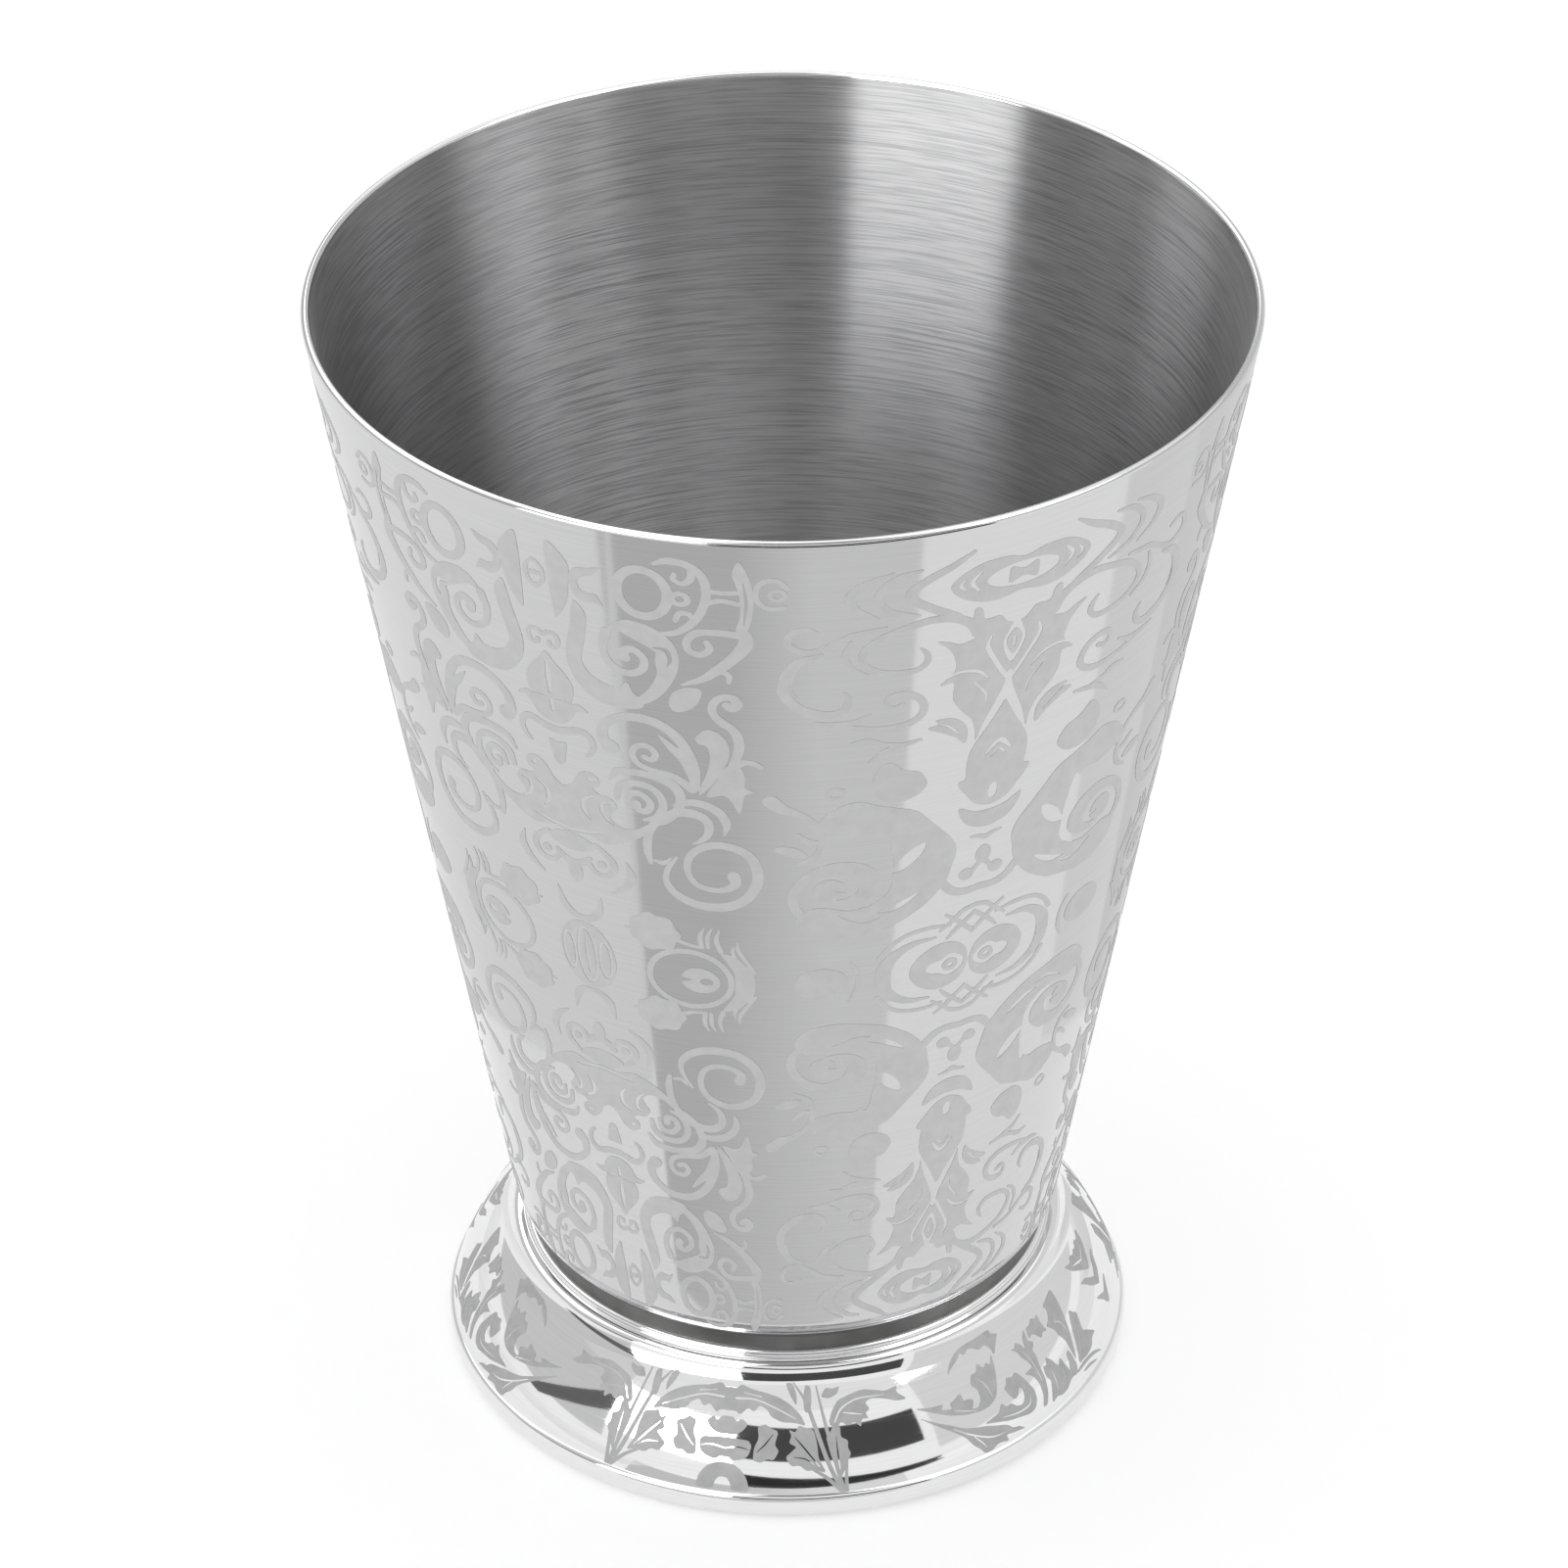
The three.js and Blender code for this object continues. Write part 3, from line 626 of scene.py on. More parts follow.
    # twin-eyed medallion, arcs and knot
    etch(blob((0.3, -0.2), (1.3, 1.1), (3, 1.6), (4.8, 0.9), (5.9, -0.4), (6.1, -1.4), (5.9, -2.4),
              (3, -4.4), (0.3, -2.6)))
    clear(blob((0.5, -1.4), (1.1, -0.4), (2.1, 0), (3, -0.5), (3.9, -0.7), (4.5, -1.4), (3.9, -2.1),
               (2.1, -2.8), (1.1, -2.4)))
    etch(oval(1.95, -1.4, 0.85, 0.8, count=16))
    clear(oval(1.95, -1.4, 0.28, 0.28, count=10))
    etch(stroke((3.8, 2.5), (6, 2.3), (7.7, 1.3), (8.6, 0), (8.8, -1.4),
                width=(0.25, 0.7, 1.1, 1.5, 1.6)))
    etch(stroke((2.4, 3.6), (4.4, 3.9), (6.6, 3.6), (8.2, 2.6), (9.2, 1.2),
                width=(0.3, 0.45, 0.45, 0.5, 0.6)))
    etch(stroke((-0.4, 1.8), (0.8, 3), (2, 4.2), (3, 5), width=(0.5, 0.5, 0.5, 0.3)))
    etch(stroke((-0.4, 4.8), (0.8, 3.8), (1.9, 2.8), (2.6, 2), width=(0.5, 0.5, 0.5, 0.3)))
    etch(stroke((0, 5.4), (1.2, 5.1), (2.4, 4), (3.4, 3.2), width=(0.5, 0.5, 0.45, 0.3)))
    etch(oval(14.6, -1.4, 2.6, 2))
    etch(stroke((11.9, 1), (11.3, -0.2), (11.1, -1.4), width=(0.3, 0.5, 0.5)))
    return parts


def insideOutline(points, outline):
    # winding number of the outline round each point, any turn counts as inside
    inside = np.zeros(len(points), int)
    box = (points > outline.min(0)).all(1) & (points < outline.max(0)).all(1)
    p = points[box][:, None]
    a, b = outline, np.roll(outline, -1, 0)
    cross = (b[:, 0] - a[:, 0]) * (p[..., 1] - a[:, 1]) - (p[..., 0] - a[:, 0]) * (b[:, 1] - a[:, 1])
    up = (a[:, 1] <= p[..., 1]) & (b[:, 1] > p[..., 1]) & (cross > 0)
    down = (a[:, 1] > p[..., 1]) & (b[:, 1] <= p[..., 1]) & (cross < 0)
    inside[box] = up.sum(1) - down.sum(1)
    return inside != 0


def etchedTriangles(parts, low, high, grid):
    # all outlines triangulated together, kept where the topmost outline is an etched one
    x, y = [np.linspace(low[i], high[i], int((high[i] - low[i]) / grid[i]) + 2) for i in range(2)]
    lattice = np.stack(np.meshgrid(x, y), -1).reshape(-1, 2)
    frameLine = np.array([low, (high[0], low[1]), high, (low[0], high[1])], float)
    outlines = [frameLine] + [shape for kind, shape in parts]
    points = np.vstack(outlines + [lattice])
    starts = np.cumsum([0] + [len(o) for o in outlines[:-1]])
    edges = np.vstack([np.stack([s + np.arange(len(o)), s + np.roll(np.arange(len(o)), -1)], 1)
                       for s, o in zip(starts, outlines)])
    found = delaunay_2d_cdt([Vector(p) for p in points.tolist()], edges.tolist(), [], 0, 1e-5, False)
    spots = np.array([tuple(v) for v in found[0]])
    # points beside the panel's edges go exactly onto them, so that copies join
    for edge in (low, high):
        spots = np.where(np.abs(spots - edge) < 1e-4, edge, spots)
    tris = np.array(found[2])
    centre = spots[tris].mean(1)
    etched = np.zeros(len(tris), bool)
    for kind, shape in parts:
        etched[insideOutline(centre, shape)] = kind
    etched &= (centre > low).all(1) & (centre < high).all(1)
    tris = tris[etched]
    a, b, c = spots[tris[:, 0]], spots[tris[:, 1]], spots[tris[:, 2]]
    turned = (b[:, 0] - a[:, 0]) * (c[:, 1] - a[:, 1]) - (b[:, 1] - a[:, 1]) * (c[:, 0] - a[:, 0]) < 0
    tris[turned] = tris[turned][:, ::-1]
    used, tris = np.unique(tris, return_inverse=True)
    return spots[used], tris.reshape(-1, 3)


def frostedPlate(name, copies, rise, sink, material):
    # copies: surface points, their normals and triangles; joined where they meet, then given thickness
    counts = np.cumsum([0] + [len(c[0]) for c in copies[:-1]])
    spots = np.vstack([c[0] for c in copies])
    normal = np.vstack([c[1] for c in copies])
    tris = np.vstack([c[2] + s for c, s in zip(copies, counts)])
    first, joined = np.unique(spots.round(8), axis=0, return_index=True, return_inverse=True)[1:]
    spots, normal, tris = spots[first], normal[first], joined.reshape(-1)[tris]
    count = len(spots)
    sides = np.vstack([tris[:, [0, 1]], tris[:, [1, 2]], tris[:, [2, 0]]])
    key = np.sort(sides, 1)
    hits = np.unique(key, axis=0, return_inverse=True, return_counts=True)
    rim = sides[hits[2][hits[1].reshape(-1)] == 1]
    points = np.vstack([spots + rise * normal, spots - sink * normal])
    walls = np.stack([rim[:, 1], rim[:, 0], rim[:, 0] + count, rim[:, 1] + count], 1)
    along = spots[rim[:, 1]] - spots[rim[:, 0]]
    flat = np.cross(along, normal[rim[:, 0]])
    flat /= np.maximum(np.linalg.norm(flat, axis=1), 1e-12)[:, None]
    normals = [normal[tris], -normal[tris[:, ::-1]], np.repeat(flat[:, None], 4, 1)]
    zones = [np.zeros(len(f)) for f in (tris, tris, walls)]
    return loopedMesh(name, points, [tris, tris[:, ::-1] + count, walls], normals, zones, [material])


# drawn in millimetres: pitch is a sixth of the way round, twist is the turn for each metre of height
ornament = dict(middle=64.1 * mm, upper=1.0, lower=0.92, lift=1.4, pitch=37.68, top=51, axis=-31.35 * rad,
                twist=15 * rad, rise=0.035 * mm, sink=0.1 * mm, grid=(1.2, 1.8))


def onWall(spots, tris, start, hand, half):
    # flat panel to cone: azimuth from x, height from y; under the wall it follows the round corner
    scale = ornament["upper"] if half > 0 else ornament["lower"]
    z = ornament["middle"] + half * scale * spots[:, 1] * mm
    turn = start + hand * spots[:, 0] / ornament["pitch"] * np.pi / 3
    turn = turn + ornament["twist"] * (z - ornament["middle"])
    past = (cupCorner[1] - cup["corner"] * np.sin(wallLean) - z) / np.cos(wallLean)
    lean = wallLean + np.maximum(past, 0) / cup["corner"]
    wall = cup["baseRadius"] + np.tan(wallLean) * (z - cupLow.z)
    radius = np.where(past > 0, cupCorner[0] + cup["corner"] * np.cos(lean), wall)
    height = np.where(past > 0, cupCorner[1] - cup["corner"] * np.sin(lean), z)
    ray = np.stack([np.sin(turn), -np.cos(turn)], 1)
    points = np.column_stack([radius[:, None] * ray, height])
    normal = np.column_stack([np.cos(lean)[:, None] * ray, -np.sin(lean)])
    return points, normal, tris if hand * half > 0 else tris[:, ::-1]


def wallOrnament():
    # both panels side by side, triangulated once, then laid three times round, mirrored, in two halves
    shift = np.array([0, ornament["lift"]])
    parts = [(kind, shape + shift) for kind, shape in panelOne()]
    flipped = lambda shape: (shape * (-1, 1) + (ornament["pitch"], 0) + shift)[::-1]
    parts += [(kind, flipped(shape)) for kind, shape in panelTwo()]
    spots, tris = etchedTriangles(parts, (0, 0), (ornament["pitch"], ornament["top"]), ornament["grid"])
    starts = ornament["axis"] + np.arange(3) * 2 * np.pi / 3
    return {half: [onWall(spots, tris, start, hand, half) for start in starts for hand in (1, -1)]
            for half in (1, -1)}


wallCopies = wallOrnament()
for half, name in ((1, "etched_scrolls_upper"), (-1, "etched_scrolls_lower")):
    plate = frostedPlate(name, wallCopies[half], ornament["rise"], ornament["sink"], frostedSteel)
    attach(plate, "root")
    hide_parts("cup_body")
    print(name, "made:", len(plate.data.polygons), "faces")

# Pressed foot
foot = dict(sheet=0.9 * mm, hole=12 * mm, neck=26.1 * mm, neckEdge=0.45 * mm, shoulder=27.4 * mm,
            drop=0.7 * mm, cove=0.15 * mm, roll=0.8 * mm, flare=5 * mm, flareTop=22 * rad,
            flareFoot=44 * rad, bulge=0.59 * mm, lip=3 * mm, lipTop=0.7 * mm, lipBottom=1.4 * mm,
            lipTurn=65 * rad, hem=4.2 * mm, turns=480)


def footProfile():
    # lip, dome on the circle that swells past its chord by bulge, hollow flare, rolled shoulder, cove
    # and neck; the inside follows one sheet thickness away, down to the hem
    f = foot
    radius, top = footHigh.x, footHigh.z
    ledge = top - f["drop"]
    cove = np.array([f["neck"] + f["cove"], ledge + f["cove"]])
    roll = np.array([f["shoulder"] - f["roll"], ledge - f["roll"]])
    edge = np.array([f["neck"] - f["neckEdge"], top - f["neckEdge"]])
    lipLow = np.array([radius - f["lipBottom"], f["lipBottom"]])
    lipHigh = np.array([radius - f["lipTop"], f["lip"] - f["lipTop"]])
    low = lipHigh + f["lipTop"] * facing(f["lipTurn"])
    flare = roll + (f["roll"] + f["flare"]) * facing(f["flareTop"])
    high = flare - f["flare"] * facing(f["flareFoot"])
    chord = high - low
    swell = (chord @ chord / 4 + f["bulge"] ** 2) / (2 * f["bulge"])
    outward = np.array([chord[1], -chord[0]]) / np.linalg.norm(chord)
    centre = (low + high) / 2 + outward * (f["bulge"] - swell)
    lowTurn = np.arctan2(*(low - centre)[::-1])
    highTurn = np.arctan2(*(high - centre)[::-1])
    under = top - f["sheet"]
    coveIn = f["cove"] + f["sheet"]
    coveEnd = np.arcsin((cove[1] - under) / coveIn) - np.pi
    domeIn = swell - f["sheet"]
    flareIn = f["flare"] + f["sheet"]
    flareInTop = np.arcsin((flare[1] - ledge + f["sheet"]) / flareIn)
    hem = radius - f["hem"]
    lipIn = f["lipBottom"] - f["sheet"]
    domeInLow = centre + domeIn * facing(lowTurn)
    coveTop = cove + coveIn * facing(coveEnd)
    flareInside = arcPiece(flare, flareIn, np.pi + flareInTop, np.pi + f["flareFoot"], 12)
    domeInside = arcPiece(centre, domeIn, highTurn, lowTurn, 30, -1)
    domeInside[0, :2] = flareInside[-1, :2]  # one shared row where the two arcs meet
    pieces = [
        arcPiece(lipLow, f["lipBottom"], -np.pi / 2, 0, 10),
        linePiece((radius, lipLow[1]), (radius, lipHigh[1]), 2),
        arcPiece(lipHigh, f["lipTop"], 0, f["lipTurn"], 8),
        arcPiece(centre, swell, lowTurn, highTurn, 40),
        arcPiece(flare, f["flare"], np.pi + f["flareFoot"], np.pi + f["flareTop"], 14, -1),
        arcPiece(roll, f["roll"], f["flareTop"], np.pi / 2, 10),
        linePiece((roll[0], ledge), (cove[0], ledge), 4),
        arcPiece(cove, f["cove"], -np.pi / 2, -np.pi, 10, -1),
        linePiece((f["neck"], cove[1]), (f["neck"], edge[1])),
        arcPiece(edge, f["neckEdge"], 0, np.pi / 2, 10),
        linePiece((edge[0], top), (f["hole"], top), 6),
        linePiece((f["hole"], top), (f["hole"], under)),
        linePiece((f["hole"], under), coveTop, 6),
        arcPiece(cove, coveIn, coveEnd, -np.pi / 2, 10),
        linePiece((cove[0], ledge - f["sheet"]), flare - flareIn * facing(flareInTop), 3),
        flareInside,
        domeInside,
        linePiece(domeInLow, (radius - f["sheet"], lipLow[1]), 2),
        arcPiece(lipLow, lipIn, 0, -np.pi / 2, 6, -1),
        linePiece((lipLow[0], f["sheet"]), (hem, f["sheet"]), 3),
        linePiece((hem, f["sheet"]), (hem, 0)),
        linePiece((hem, 0), (lipLow[0], 0), 3),
    ]
    return pieces, (centre / mm, swell / mm, lowTurn, highTurn, flare / mm)


footPieces, domeArc = footProfile()
pressedFoot = turnedPiece("pressed_foot", footPieces, [0] * 11 + [1] * 10 + [0], [footSteel, innerSteel],
                          foot["turns"])
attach(pressedFoot, "root")
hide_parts("pedestal_foot")
print("foot made:", len(pressedFoot.data.polygons), "faces")

# Frosted leaf sprays of the foot, mirrored and twice round
# degree is the drawing's millimetres for one degree round, axis the mirror line's azimuth in degrees
dome = dict(degree=0.5236, axis=-11, reach=11.2, grid=(1.0, 1.0), rise=0.03, sink=0.1)


def leafOutline(*points, cut=0.18):
    # straight-sided outline with its corners cut a little, so that lobes stay pointed
    p = np.asarray(points, float)
    before, after = np.roll(p, 1, 0), np.roll(p, -1, 0)
    return np.stack([p + cut * (before - p), p + cut * (after - p)], 1).reshape(-1, 2)


def leafSprays():
    # half a spray of the foot: azimuth in degrees, height along the dome in millimetres
    parts, etch, clear = sketch()
    at = lambda points: [((a - dome["axis"]) * dome["degree"], s) for a, s in points]
    leaf = lambda *points: etch(leafOutline(*at(points)))
    stem = lambda *points, width: etch(stroke(*at(points), width=width))
    vein = lambda *points, width: clear(stroke(*at(points), width=width))
    # arch and leaves on the mirror line
    leaf((-12, 3.05), (-9.4, 2.9), (-8, 2.4), (-6.9, 1.5), (-6.4, 0.2), (-9.4, 0.2), (-9.7, 1),
         (-10.3, 1.5), (-12, 1.6))
    leaf((-12, 3.4), (-10.4, 3.6), (-9.4, 3.2), (-8, 3.4), (-6.8, 3.8), (-6.3, 4.8), (-6.9, 5.3),
         (-9, 5.4), (-12, 5.5))
    vein((-11, 4.4), (-8.6, 4.6), (-6.8, 4.4), width=(0.14, 0.14, 0.05))
    leaf((-12, 5.8), (-9.5, 5.75), (-8, 6.2), (-7.2, 6.9), (-8.4, 7.4), (-9.2, 7), (-10, 7.5), (-12, 7.5))
    leaf((-6, 3.4), (-4.6, 3.2), (-3.6, 3.6), (-2.4, 3.5), (-1.5, 4.4), (-2.3, 5), (-1.6, 6.3), (-3, 6.6),
         (-4, 7), (-5.4, 6.7), (-5.1, 5.6), (-5.9, 4.6))
    vein((-5.4, 4.2), (-4, 5), (-2.6, 6), width=(0.05, 0.14, 0.05))
    # broad leaf running down to the stems
    leaf((-12, 8), (-9.6, 8.1), (-8.8, 7.7), (-7.4, 8.5), (-6.2, 8.1), (-5.2, 8.8), (-3.8, 8.4),
         (-3, 7.7), (-1, 7.2), (1.2, 7.15), (3.4, 6.8), (2.4, 7.9), (0.6, 8.9), (-1.6, 9.6), (-4, 10),
         (-7, 10.3), (-9, 10.7), (-10, 10.2), (-12, 10.4))
    vein((-9.8, 9.3), (-6, 9.3), (-2, 8.5), (1.6, 7.5), width=(0.2, 0.16, 0.14, 0.05))
    vein((-8.4, 9.9), (-5, 9.6), width=(0.05, 0.12))
    # fan of stems and its leaves
    stem((9, 0.1), (6.6, 1.6), (3.8, 2.7), width=(0.35, 0.35, 0.2))
    stem((9.2, 0.1), (7.4, 2.4), (6, 4.8), (4.8, 7), (3.4, 9.2), (1.2, 11),
         width=(0.35, 0.4, 0.4, 0.4, 0.3, 0.15))
    stem((9.4, 0.1), (8.4, 2.6), (7.4, 5.4), (6.6, 7.6), (5.6, 10.6), width=(0.35, 0.35, 0.35, 0.3, 0.15))
    stem((9.8, 0.1), (9.9, 1.6), (10.2, 3.2), width=(0.35, 0.3, 0.2))
    leaf((0.2, 6.5), (1.4, 6.2), (2, 6.9), (3.4, 6.6), (4.7, 6.4), (5.2, 5), (5.3, 3.6), (6.6, 2.1),
         (4.6, 2.5), (3.2, 2.4), (2, 3), (0.6, 2.9), (-0.4, 3.8), (0.6, 4.3), (1.6, 4.8), (0.2, 5.2),
         (0.7, 5.9))
    vein((1.2, 5.8), (3, 4.6), (5.4, 2.8), width=(0.05, 0.16, 0.1))
    vein((1, 3.8), (3, 3.6), (4.6, 3), width=(0.05, 0.14, 0.05))
    leaf((6.8, 5.7), (7.8, 6.2), (8.3, 6.9), (9.5, 6.5), (9.4, 5.5), (10.7, 5.1), (10.5, 4.4), (11, 3.8),
         (10.2, 3), (9.7, 2.2), (8.8, 1.4), (8, 2.8), (7.3, 4.2))
    vein((8.9, 2.4), (8.7, 4), (8.6, 5.6), width=(0.1, 0.14, 0.05))
    leaf((7.4, 6.9), (8.3, 8.2), (9.6, 9.1), (12, 9.5), (14.5, 9.8), (17, 9.5), (19, 9.2), (21.5, 9.5),
         (20.9, 8.9), (22.8, 8), (20.8, 8), (18.6, 8.5), (16, 8.8), (14.6, 8.5), (15.4, 7.8), (14.4, 7.5),
         (14.9, 6.9), (13.6, 7), (13.3, 6.2), (12.2, 6.8), (10.9, 6.5), (9.7, 7), (8.8, 6.3))
    vein((8.6, 7), (9.8, 8.1), (11.6, 8.7), (14, 9), (18.6, 8.9), width=(0.12, 0.16, 0.16, 0.14, 0.05))
    vein((10.4, 7.8), (12.2, 7.6), (13.8, 7.4), width=(0.1, 0.12, 0.05))
    leaf((3.1, 8.2), (3, 9.6), (3.5, 10.8), (4.5, 10.6), (4.6, 9.2), (4.1, 8))
    leaf((6.3, 9.5), (7.4, 10.4), (8.8, 10.2), (10.2, 10.4), (9.6, 9.7), (8, 9.3))
    leaf((-0.4, 11), (0.4, 9.9), (1.7, 8.7), (1.8, 9.8), (1, 11))
    # leaves over the long stem
    leaf((23.6, 6.8), (27, 5.9), (30, 5.1), (33, 4.6), (36, 4.3), (38.4, 4.4), (40.2, 5), (41.3, 6.3),
         (42.1, 7.6), (42.6, 9), (41.4, 8), (40.6, 8.4), (39.8, 8), (38.7, 8.8), (38, 8), (36.6, 8),
         (35.8, 7.1), (36.9, 6.4), (36.9, 5.4), (36, 4.8), (34.6, 4.8), (35.4, 5.7), (34.2, 6),
         (33.4, 5.9), (33.2, 6.8), (31.6, 6.4), (30.6, 6.2), (30.8, 5.6), (28.6, 5.9), (29.4, 6.4),
         (26.4, 6.5))
    vein((31, 5.4), (33, 5), (35.4, 4.5), width=(0.05, 0.14, 0.05))
    vein((37.4, 7.6), (38.8, 6.4), (39.4, 5), width=(0.05, 0.16, 0.1))
    leaf((31.9, 8.8), (33.4, 9.4), (35.2, 9.9), (36.2, 10.4), (37, 10), (38.2, 10.4), (39.6, 10.2),
         (40.4, 9.8), (42.2, 10), (43, 9.4), (43.2, 8.6), (44.4, 9.4), (46.2, 10.3), (44.6, 10.6),
         (44.6, 11.1), (41, 11), (37, 10.9), (34.5, 10.4), (33, 9.7))
    # leaves under it
    leaf((23.8, 5.9), (27, 4.9), (29.5, 4.2), (32, 3.4), (34.5, 2.95), (36.4, 2.7), (38.2, 2.3),
         (40.6, 1.8), (41.6, 1.2), (43, 1), (44.2, 0.5), (41.8, 0.7), (39.8, 0.9), (40.2, 0.2), (38, 0.5),
         (36.6, 0.1), (35, 0.1), (34.2, 0.8), (33.2, 1.3), (32, 2.4), (30.4, 3.2), (27.2, 4.5))
    vein((30, 3.7), (33.4, 2.4), (37, 1.4), (40, 1.2), width=(0.1, 0.16, 0.16, 0.05))
    vein((33.6, 2.2), (35, 1.2), (35.6, 0.6), width=(0.1, 0.12, 0.05))
    leaf((36, 2.95), (39.6, 3.3), (40.6, 4.1), (41.4, 3.5), (42.6, 3.6), (43.6, 3), (45, 2.8),
         (45.9, 3.4), (46, 4.3), (45.2, 4.5), (44.6, 3.9), (43.6, 3.7), (42.9, 4.3), (42.2, 5.2),
         (43, 5.5), (43.4, 6.1), (44.8, 5.8), (45.8, 6.1), (46.8, 5.3), (47.6, 4.4), (48.4, 3.4),
         (48.3, 2.4), (47.4, 1.7), (46, 1.5), (43.6, 1.8), (41, 2.1), (38.4, 2.6))
    vein((40, 2.7), (43.6, 2.3), (46.4, 2.4), (47.4, 3.4), width=(0.05, 0.14, 0.16, 0.05))
    # upright leaves
    leaf((47, 8.2), (48, 8), (48.9, 8.5), (49.9, 7.9), (50.3, 7.2), (50.8, 8.3), (52.3, 9.1), (51.7, 7.9),
         (52.9, 7.4), (51.6, 6.8), (51.9, 6.2), (51.6, 5), (51.7, 3.6), (51.2, 2.2), (50.2, 1.2),
         (49.2, 1.2), (50.1, 2.5), (50, 3.8), (49.2, 4.7), (47.6, 5.3), (49.4, 5.4), (50, 5.5),
         (49.6, 6.1), (48.6, 6.9), (48.2, 7.6))
    vein((49, 7.8), (50.4, 6), (50.9, 3.6), width=(0.05, 0.16, 0.1))
    leaf((51.5, 0.9), (53, 1.2), (54.4, 0.9), (56, 1), (58, 1.6), (59.8, 1.4), (60.5, 2.2), (60.2, 3.4),
         (59.8, 4.2), (58.9, 3.9), (58.8, 3), (58.2, 2.2), (57.7, 3.1), (57, 4.3), (56.2, 3.7),
         (55.5, 3.9), (55, 4.6), (53.7, 5.4), (53.3, 4.6), (52.3, 4.8), (52.1, 3.7), (52.9, 3),
         (52.3, 2.1))
    vein((53.8, 1.6), (54, 3), (53.8, 4.4), width=(0.1, 0.14, 0.05))
    vein((56, 1.6), (56.6, 2.6), (56.8, 3.6), width=(0.1, 0.12, 0.05))
    leaf((52.3, 7.9), (52.9, 8.9), (54.4, 9), (55.2, 9.4), (56.5, 9), (57.2, 9.3), (56.9, 8.2),
         (57.4, 7.3), (56, 7.5), (55.2, 7.1), (54.4, 7.7), (53.6, 8.1))
    leaf((57.8, 7.6), (59.3, 8), (60.4, 8.8), (59.8, 9.3), (62, 9.6), (64.7, 9.9), (64.2, 8.4),
         (63.4, 6.9), (62.6, 5.6), (61.6, 4), (60.8, 2.6), (60.6, 3.8), (60.4, 5.1), (59.5, 6),
         (59.2, 6.8))
    vein((60, 7.4), (61.6, 6.8), (62.2, 5.4), width=(0.05, 0.16, 0.1))
    leaf((61.3, 2), (62.4, 3.5), (63.2, 4.8), (64.2, 6), (65.4, 6.9), (66.2, 6.3), (67, 6.1), (66.5, 5.2),
         (66, 4.2), (67.2, 3.8), (69.5, 2.8), (67.6, 2.7), (66.6, 2.1), (64.5, 1.9), (62.6, 2))
    vein((63, 2.8), (64.6, 4.4), (65.6, 5.6), width=(0.1, 0.14, 0.05))
    stem((60.2, 1.5), (62.4, 1.6), (65, 1.5), (67, 1.2), (68.8, 0.7), width=(0.2, 0.35, 0.35, 0.3, 0.1))
    stem((62, 0.9), (64, 0.85), (66.4, 0.5), width=(0.15, 0.3, 0.1))
    # long leaves running on
    leaf((72.4, 9.7), (74, 8.5), (76.2, 7.7), (78, 7), (80, 6.6), (80, 9.7), (78, 9.2), (76.4, 9.6),
         (75, 9.2))
    vein((75, 8.8), (77, 8.4), (80, 7.8), width=(0.05, 0.2, 0.2))
    leaf((73.2, 7.1), (75.6, 6.9), (77.4, 6.2), (80, 5.4), (80, 4.5), (78, 5), (76.2, 5.6), (74.8, 6.4))
    leaf((75, 4.4), (77, 4.1), (80, 3.4), (80, 2.2), (78.4, 2.5), (77.4, 3.3))
    return parts


def sprayOrnament():
    # flat half spray to dome: azimuth from x; turn round the dome's circle, then the flare's, from y
    centre, swell, lowTurn, highTurn, flare = domeArc
    hollow = foot["flare"] / mm
    spots, tris = etchedTriangles(leafSprays(), (0, 0), (90 * dome["degree"], dome["reach"]),
                                  dome["grid"])
    past = spots[:, 1] - swell * (highTurn - lowTurn)
    turn = np.where(past > 0, foot["flareFoot"] - past / hollow, lowTurn + spots[:, 1] / swell)
    side = np.stack([np.cos(turn), np.sin(turn)], 1)
    curve = np.where(past[:, None] > 0, flare - hollow * side, centre + swell * side)
    copies = []
    for start, hand in ((0, 1), (0, -1), (np.pi, 1), (np.pi, -1)):
        a = dome["axis"] * rad + start + hand * spots[:, 0] / dome["degree"] * rad
        ray = np.stack([np.sin(a), -np.cos(a)], 1)
        points = np.column_stack([curve[:, :1] * ray, curve[:, 1]])
        normal = np.column_stack([side[:, :1] * ray, side[:, 1]])
        copies.append((points * mm, normal, tris if hand > 0 else tris[:, ::-1]))
    return copies


sprayPlate = frostedPlate("etched_leaf_sprays", sprayOrnament(), dome["rise"] * mm, dome["sink"] * mm,
                          frostedFoot)
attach(sprayPlate, "root")
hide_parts("pedestal_foot")
print("leaf sprays made:", len(sprayPlate.data.polygons), "faces")

# Filler ring between foot and cup, with a fillet up the cup's corner
braze = dict(inner=13.1 * mm, outer=25.6 * mm, climb=0.5 * (np.pi / 2 - wallLean), turns=480)


def brazeProfile():
    # flat ring on the web; its outer face slants up to the cup's corner, which it follows back down
    web, under = footHigh.z, cupLow.z
    crest = braze["climb"] - np.pi / 2
    tip = cupCorner + cup["corner"] * facing(crest)
    return [
        linePiece((braze["inner"], web), (braze["outer"], web), 4),
        linePiece((braze["outer"], web), tip, 4),
        arcPiece(cupCorner, cup["corner"], crest, -np.pi / 2, 12, -1),
        linePiece((cupCorner[0], under), (braze["inner"], under), 4),
        linePiece((braze["inner"], under), (braze["inner"], web)),
    ]


fillerRing = turnedPiece("filler_ring", brazeProfile(), [0] * 5, [fillerMetal], braze["turns"])
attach(fillerRing, "root")
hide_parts("braze_ring")
print("filler ring made:", len(fillerRing.data.polygons), "faces")

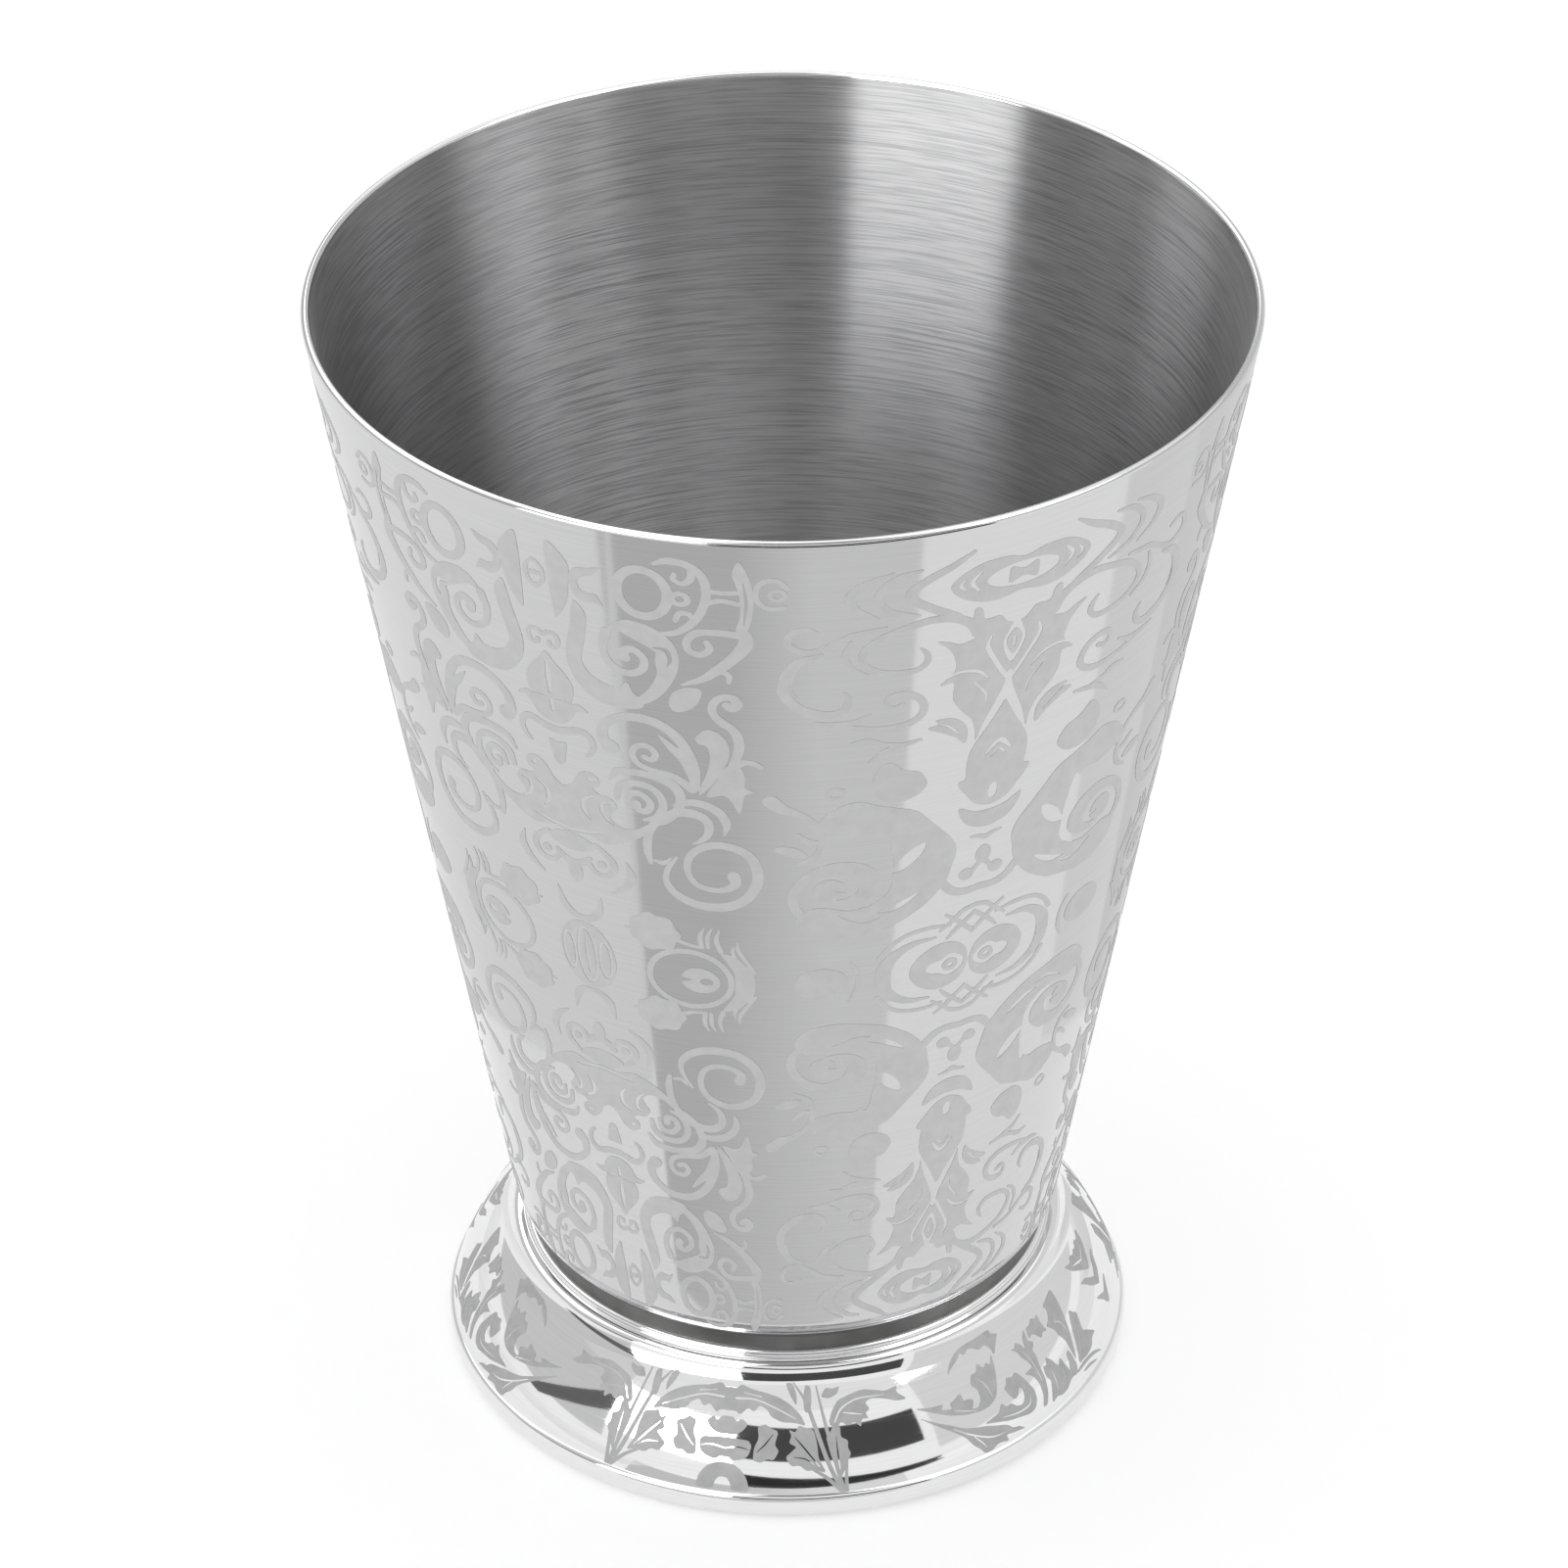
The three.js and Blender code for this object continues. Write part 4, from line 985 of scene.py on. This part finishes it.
# Camera at the photograph's height and angle
view = dict(lens=152.21, distance=635.25 * mm, elevation=33.5636 * rad, roll=-0.2516 * rad,
            aim=(-0.0742 * mm, 0, 63.11 * mm))
lensData = bpy.data.cameras.new("camera")
lensData.lens = view["lens"]
lensData.sensor_width = 36
lensData.clip_start = 0.01
lensData.clip_end = 20
camera = bpy.data.objects.new("camera", lensData)
scene.collection.objects.link(camera)
back = Vector((0, -np.cos(view["elevation"]), np.sin(view["elevation"])))
turn = back.to_track_quat("Z", "Y").to_matrix().to_4x4() @ Matrix.Rotation(view["roll"], 4, "Z")
camera.matrix_world = Matrix.Translation(Vector(view["aim"]) + back * view["distance"]) @ turn
scene.camera = camera
print("camera set")

# Studio: white all round, with dark, grey and bright cards that only show in reflections
studio = dict(sky=1.0, floorGlow=0.34, floorTone=0.72, reach=1.4)


def glowing(name, tone, end=None, across=(0, 1)):
    # plain glow, or one that changes from tone to end along X
    material = bpy.data.materials.new(name)
    material.use_nodes = True
    nodes, links = material.node_tree.nodes, material.node_tree.links
    nodes.remove(nodes["Principled BSDF"])
    glow = nodes.new("ShaderNodeEmission")
    glow.inputs["Strength"].default_value = tone
    if end is not None:
        coords = nodes.new("ShaderNodeTexCoord")
        split = nodes.new("ShaderNodeSeparateXYZ")
        links.new(coords.outputs["Object"], split.inputs[0])
        links.new(ranged(nodes, links, split.outputs["X"], tone, end, *across), glow.inputs["Strength"])
    links.new(glow.outputs[0], nodes["Material Output"].inputs["Surface"])
    return material


def stageGrid(name, points, material):
    # rows and columns of points joined into a sheet
    rows, columns = points.shape[:2]
    index = np.arange(rows * columns).reshape(rows, columns)
    quads = np.stack([index[:-1, :-1], index[:-1, 1:], index[1:, 1:], index[1:, :-1]], -1).reshape(-1, 4)
    mesh = bpy.data.meshes.new(name)
    mesh.from_pydata(points.reshape(-1, 3).tolist(), [], quads.tolist())
    mesh.materials.append(material)
    sheet = bpy.data.objects.new(name, mesh)
    scene.collection.objects.link(sheet)
    return sheet


def reflectionCard(name, azimuth, elevation, tone, last=None, nearer=1):
    # patch of a sphere round the cup: azimuth 0 faces the camera, positive to the right
    u, v = np.meshgrid(np.linspace(0, 1, 25), np.linspace(0, 1, 13))
    low, high = [first + (end - first) * u for first, end in zip(elevation, last or elevation)]
    a = (azimuth[0] + (azimuth[1] - azimuth[0]) * u) * rad
    e = (low + (high - low) * v) * rad
    direction = np.stack([np.cos(e) * np.sin(a), -np.cos(e) * np.cos(a), np.sin(e)], -1)
    onlyReflected(stageGrid(name, nearer * studio["reach"] * direction, glowing(name, tone)))


def onlyReflected(card):
    card.visible_camera = card.visible_diffuse = card.visible_shadow = card.visible_transmission = False


# name, azimuths, elevations, glow, then elevations at the far side and nearness where they differ
cards = [
    ("cameraGap", (-17.5, 44), (13.5, 30.5), 0.07, (11, 27.5)),
    ("lowGap", (-14, 48), (0, 5.5), 0.03, (0, 0.8)),
    ("overCamera", (-17.5, 46), (38, 60), 0.88),
    ("overTop", (-17.5, 46), (60, 80), 0.2),
    ("keyLow", (-60, -17.5), (9, 18), 3.8),
    ("keyStrip", (-60, -17.5), (18, 31), 7.8),
    ("keyMiddle", (-60, -17.5), (31, 46), 0.9),
    ("keyTop", (-60, -17.5), (46, 60), 1.5),
    ("leftEdge", (-95, -60), (-5.5, -3), 0.14, (15.5, 26), 0.97),
    ("leftLow", (-180, -60), (3, 31), 0.64),
    ("leftMiddle", (-92, -60), (31, 60), 0.72),
    ("leftTop", (-128, -92), (31, 60), 1.8),
    ("backLeft", (-180, -128), (31, 60), 2.6),
    ("rightLow", (48, 180), (4.6, 40), 0.76),
    ("rightStrip", (46, 90), (40, 46), 8.0),
    ("rightTop", (46, 90), (46, 60), 2.6),
    ("backRight", (90, 180), (40, 60), 1.2),
    ("skyRing", (46, 342.5), (60, 80), 2.0),
]
for card in cards:
    reflectionCard(*card)


def floorCard(name, outline, tone, end=None, across=(0, 1)):
    # grey sheet just over the floor, seen in reflections only
    points = np.dstack([np.asarray(outline) * mm, np.full(np.shape(outline)[:2], 0.3 * mm)])
    onlyReflected(stageGrid(name, points, glowing(name, tone, end, across)))


floorCard("floorWedge", [[(-23.4, -34.8), (17.6, -38.4)], [(-87.2, -93.2), (66.1, -107.2)],
                         [(-151, -151.7), (114.6, -176)]], 0.61, 0.81, (-26 * mm, 16 * mm))


def floorSector(name, azimuth, reach, *tone):
    # ring piece of the floor between two azimuths
    turns = np.linspace(*azimuth, 12) * rad
    floorCard(name, [[(r * np.sin(a), -r * np.cos(a)) for a in turns] for r in np.geomspace(*reach, 4)],
              *tone)


floorSector("floorFar", (-16, 46), (200, 1300), 0.05)
floorSector("floorLeft", (-165, -40), (66, 1100), 0.99, 0.87, (-160 * mm, -45 * mm))
floorSector("floorRight", (88, 116), (66, 1100), 0.88)
floorSector("floorBack", (116, 165), (66, 1100), 0.72, 0.86, (40 * mm, 200 * mm))

side = np.linspace(-3, 3, 3)
floorPoints = np.stack([*np.meshgrid(side, side), np.zeros((3, 3))], -1)
floorMaterial, nodes, links, shader = newMaterial("paleFloor")
shader.inputs["Base Color"].default_value = (studio["floorTone"],) * 3 + (1,)
shader.inputs["Roughness"].default_value = 0.9
shader.inputs["Specular IOR Level"].default_value = 0
shader.inputs["Emission Color"].default_value = (1, 1, 1, 1)
shader.inputs["Emission Strength"].default_value = studio["floorGlow"]
stageGrid("floor", floorPoints, floorMaterial)

world = bpy.data.worlds.new("whiteRoom")
world.use_nodes = True
world.node_tree.nodes["Background"].inputs["Color"].default_value = (1, 1, 1, 1)
world.node_tree.nodes["Background"].inputs["Strength"].default_value = studio["sky"]
scene.world = world
scene.view_settings.view_transform = "Standard"
print("studio ready")
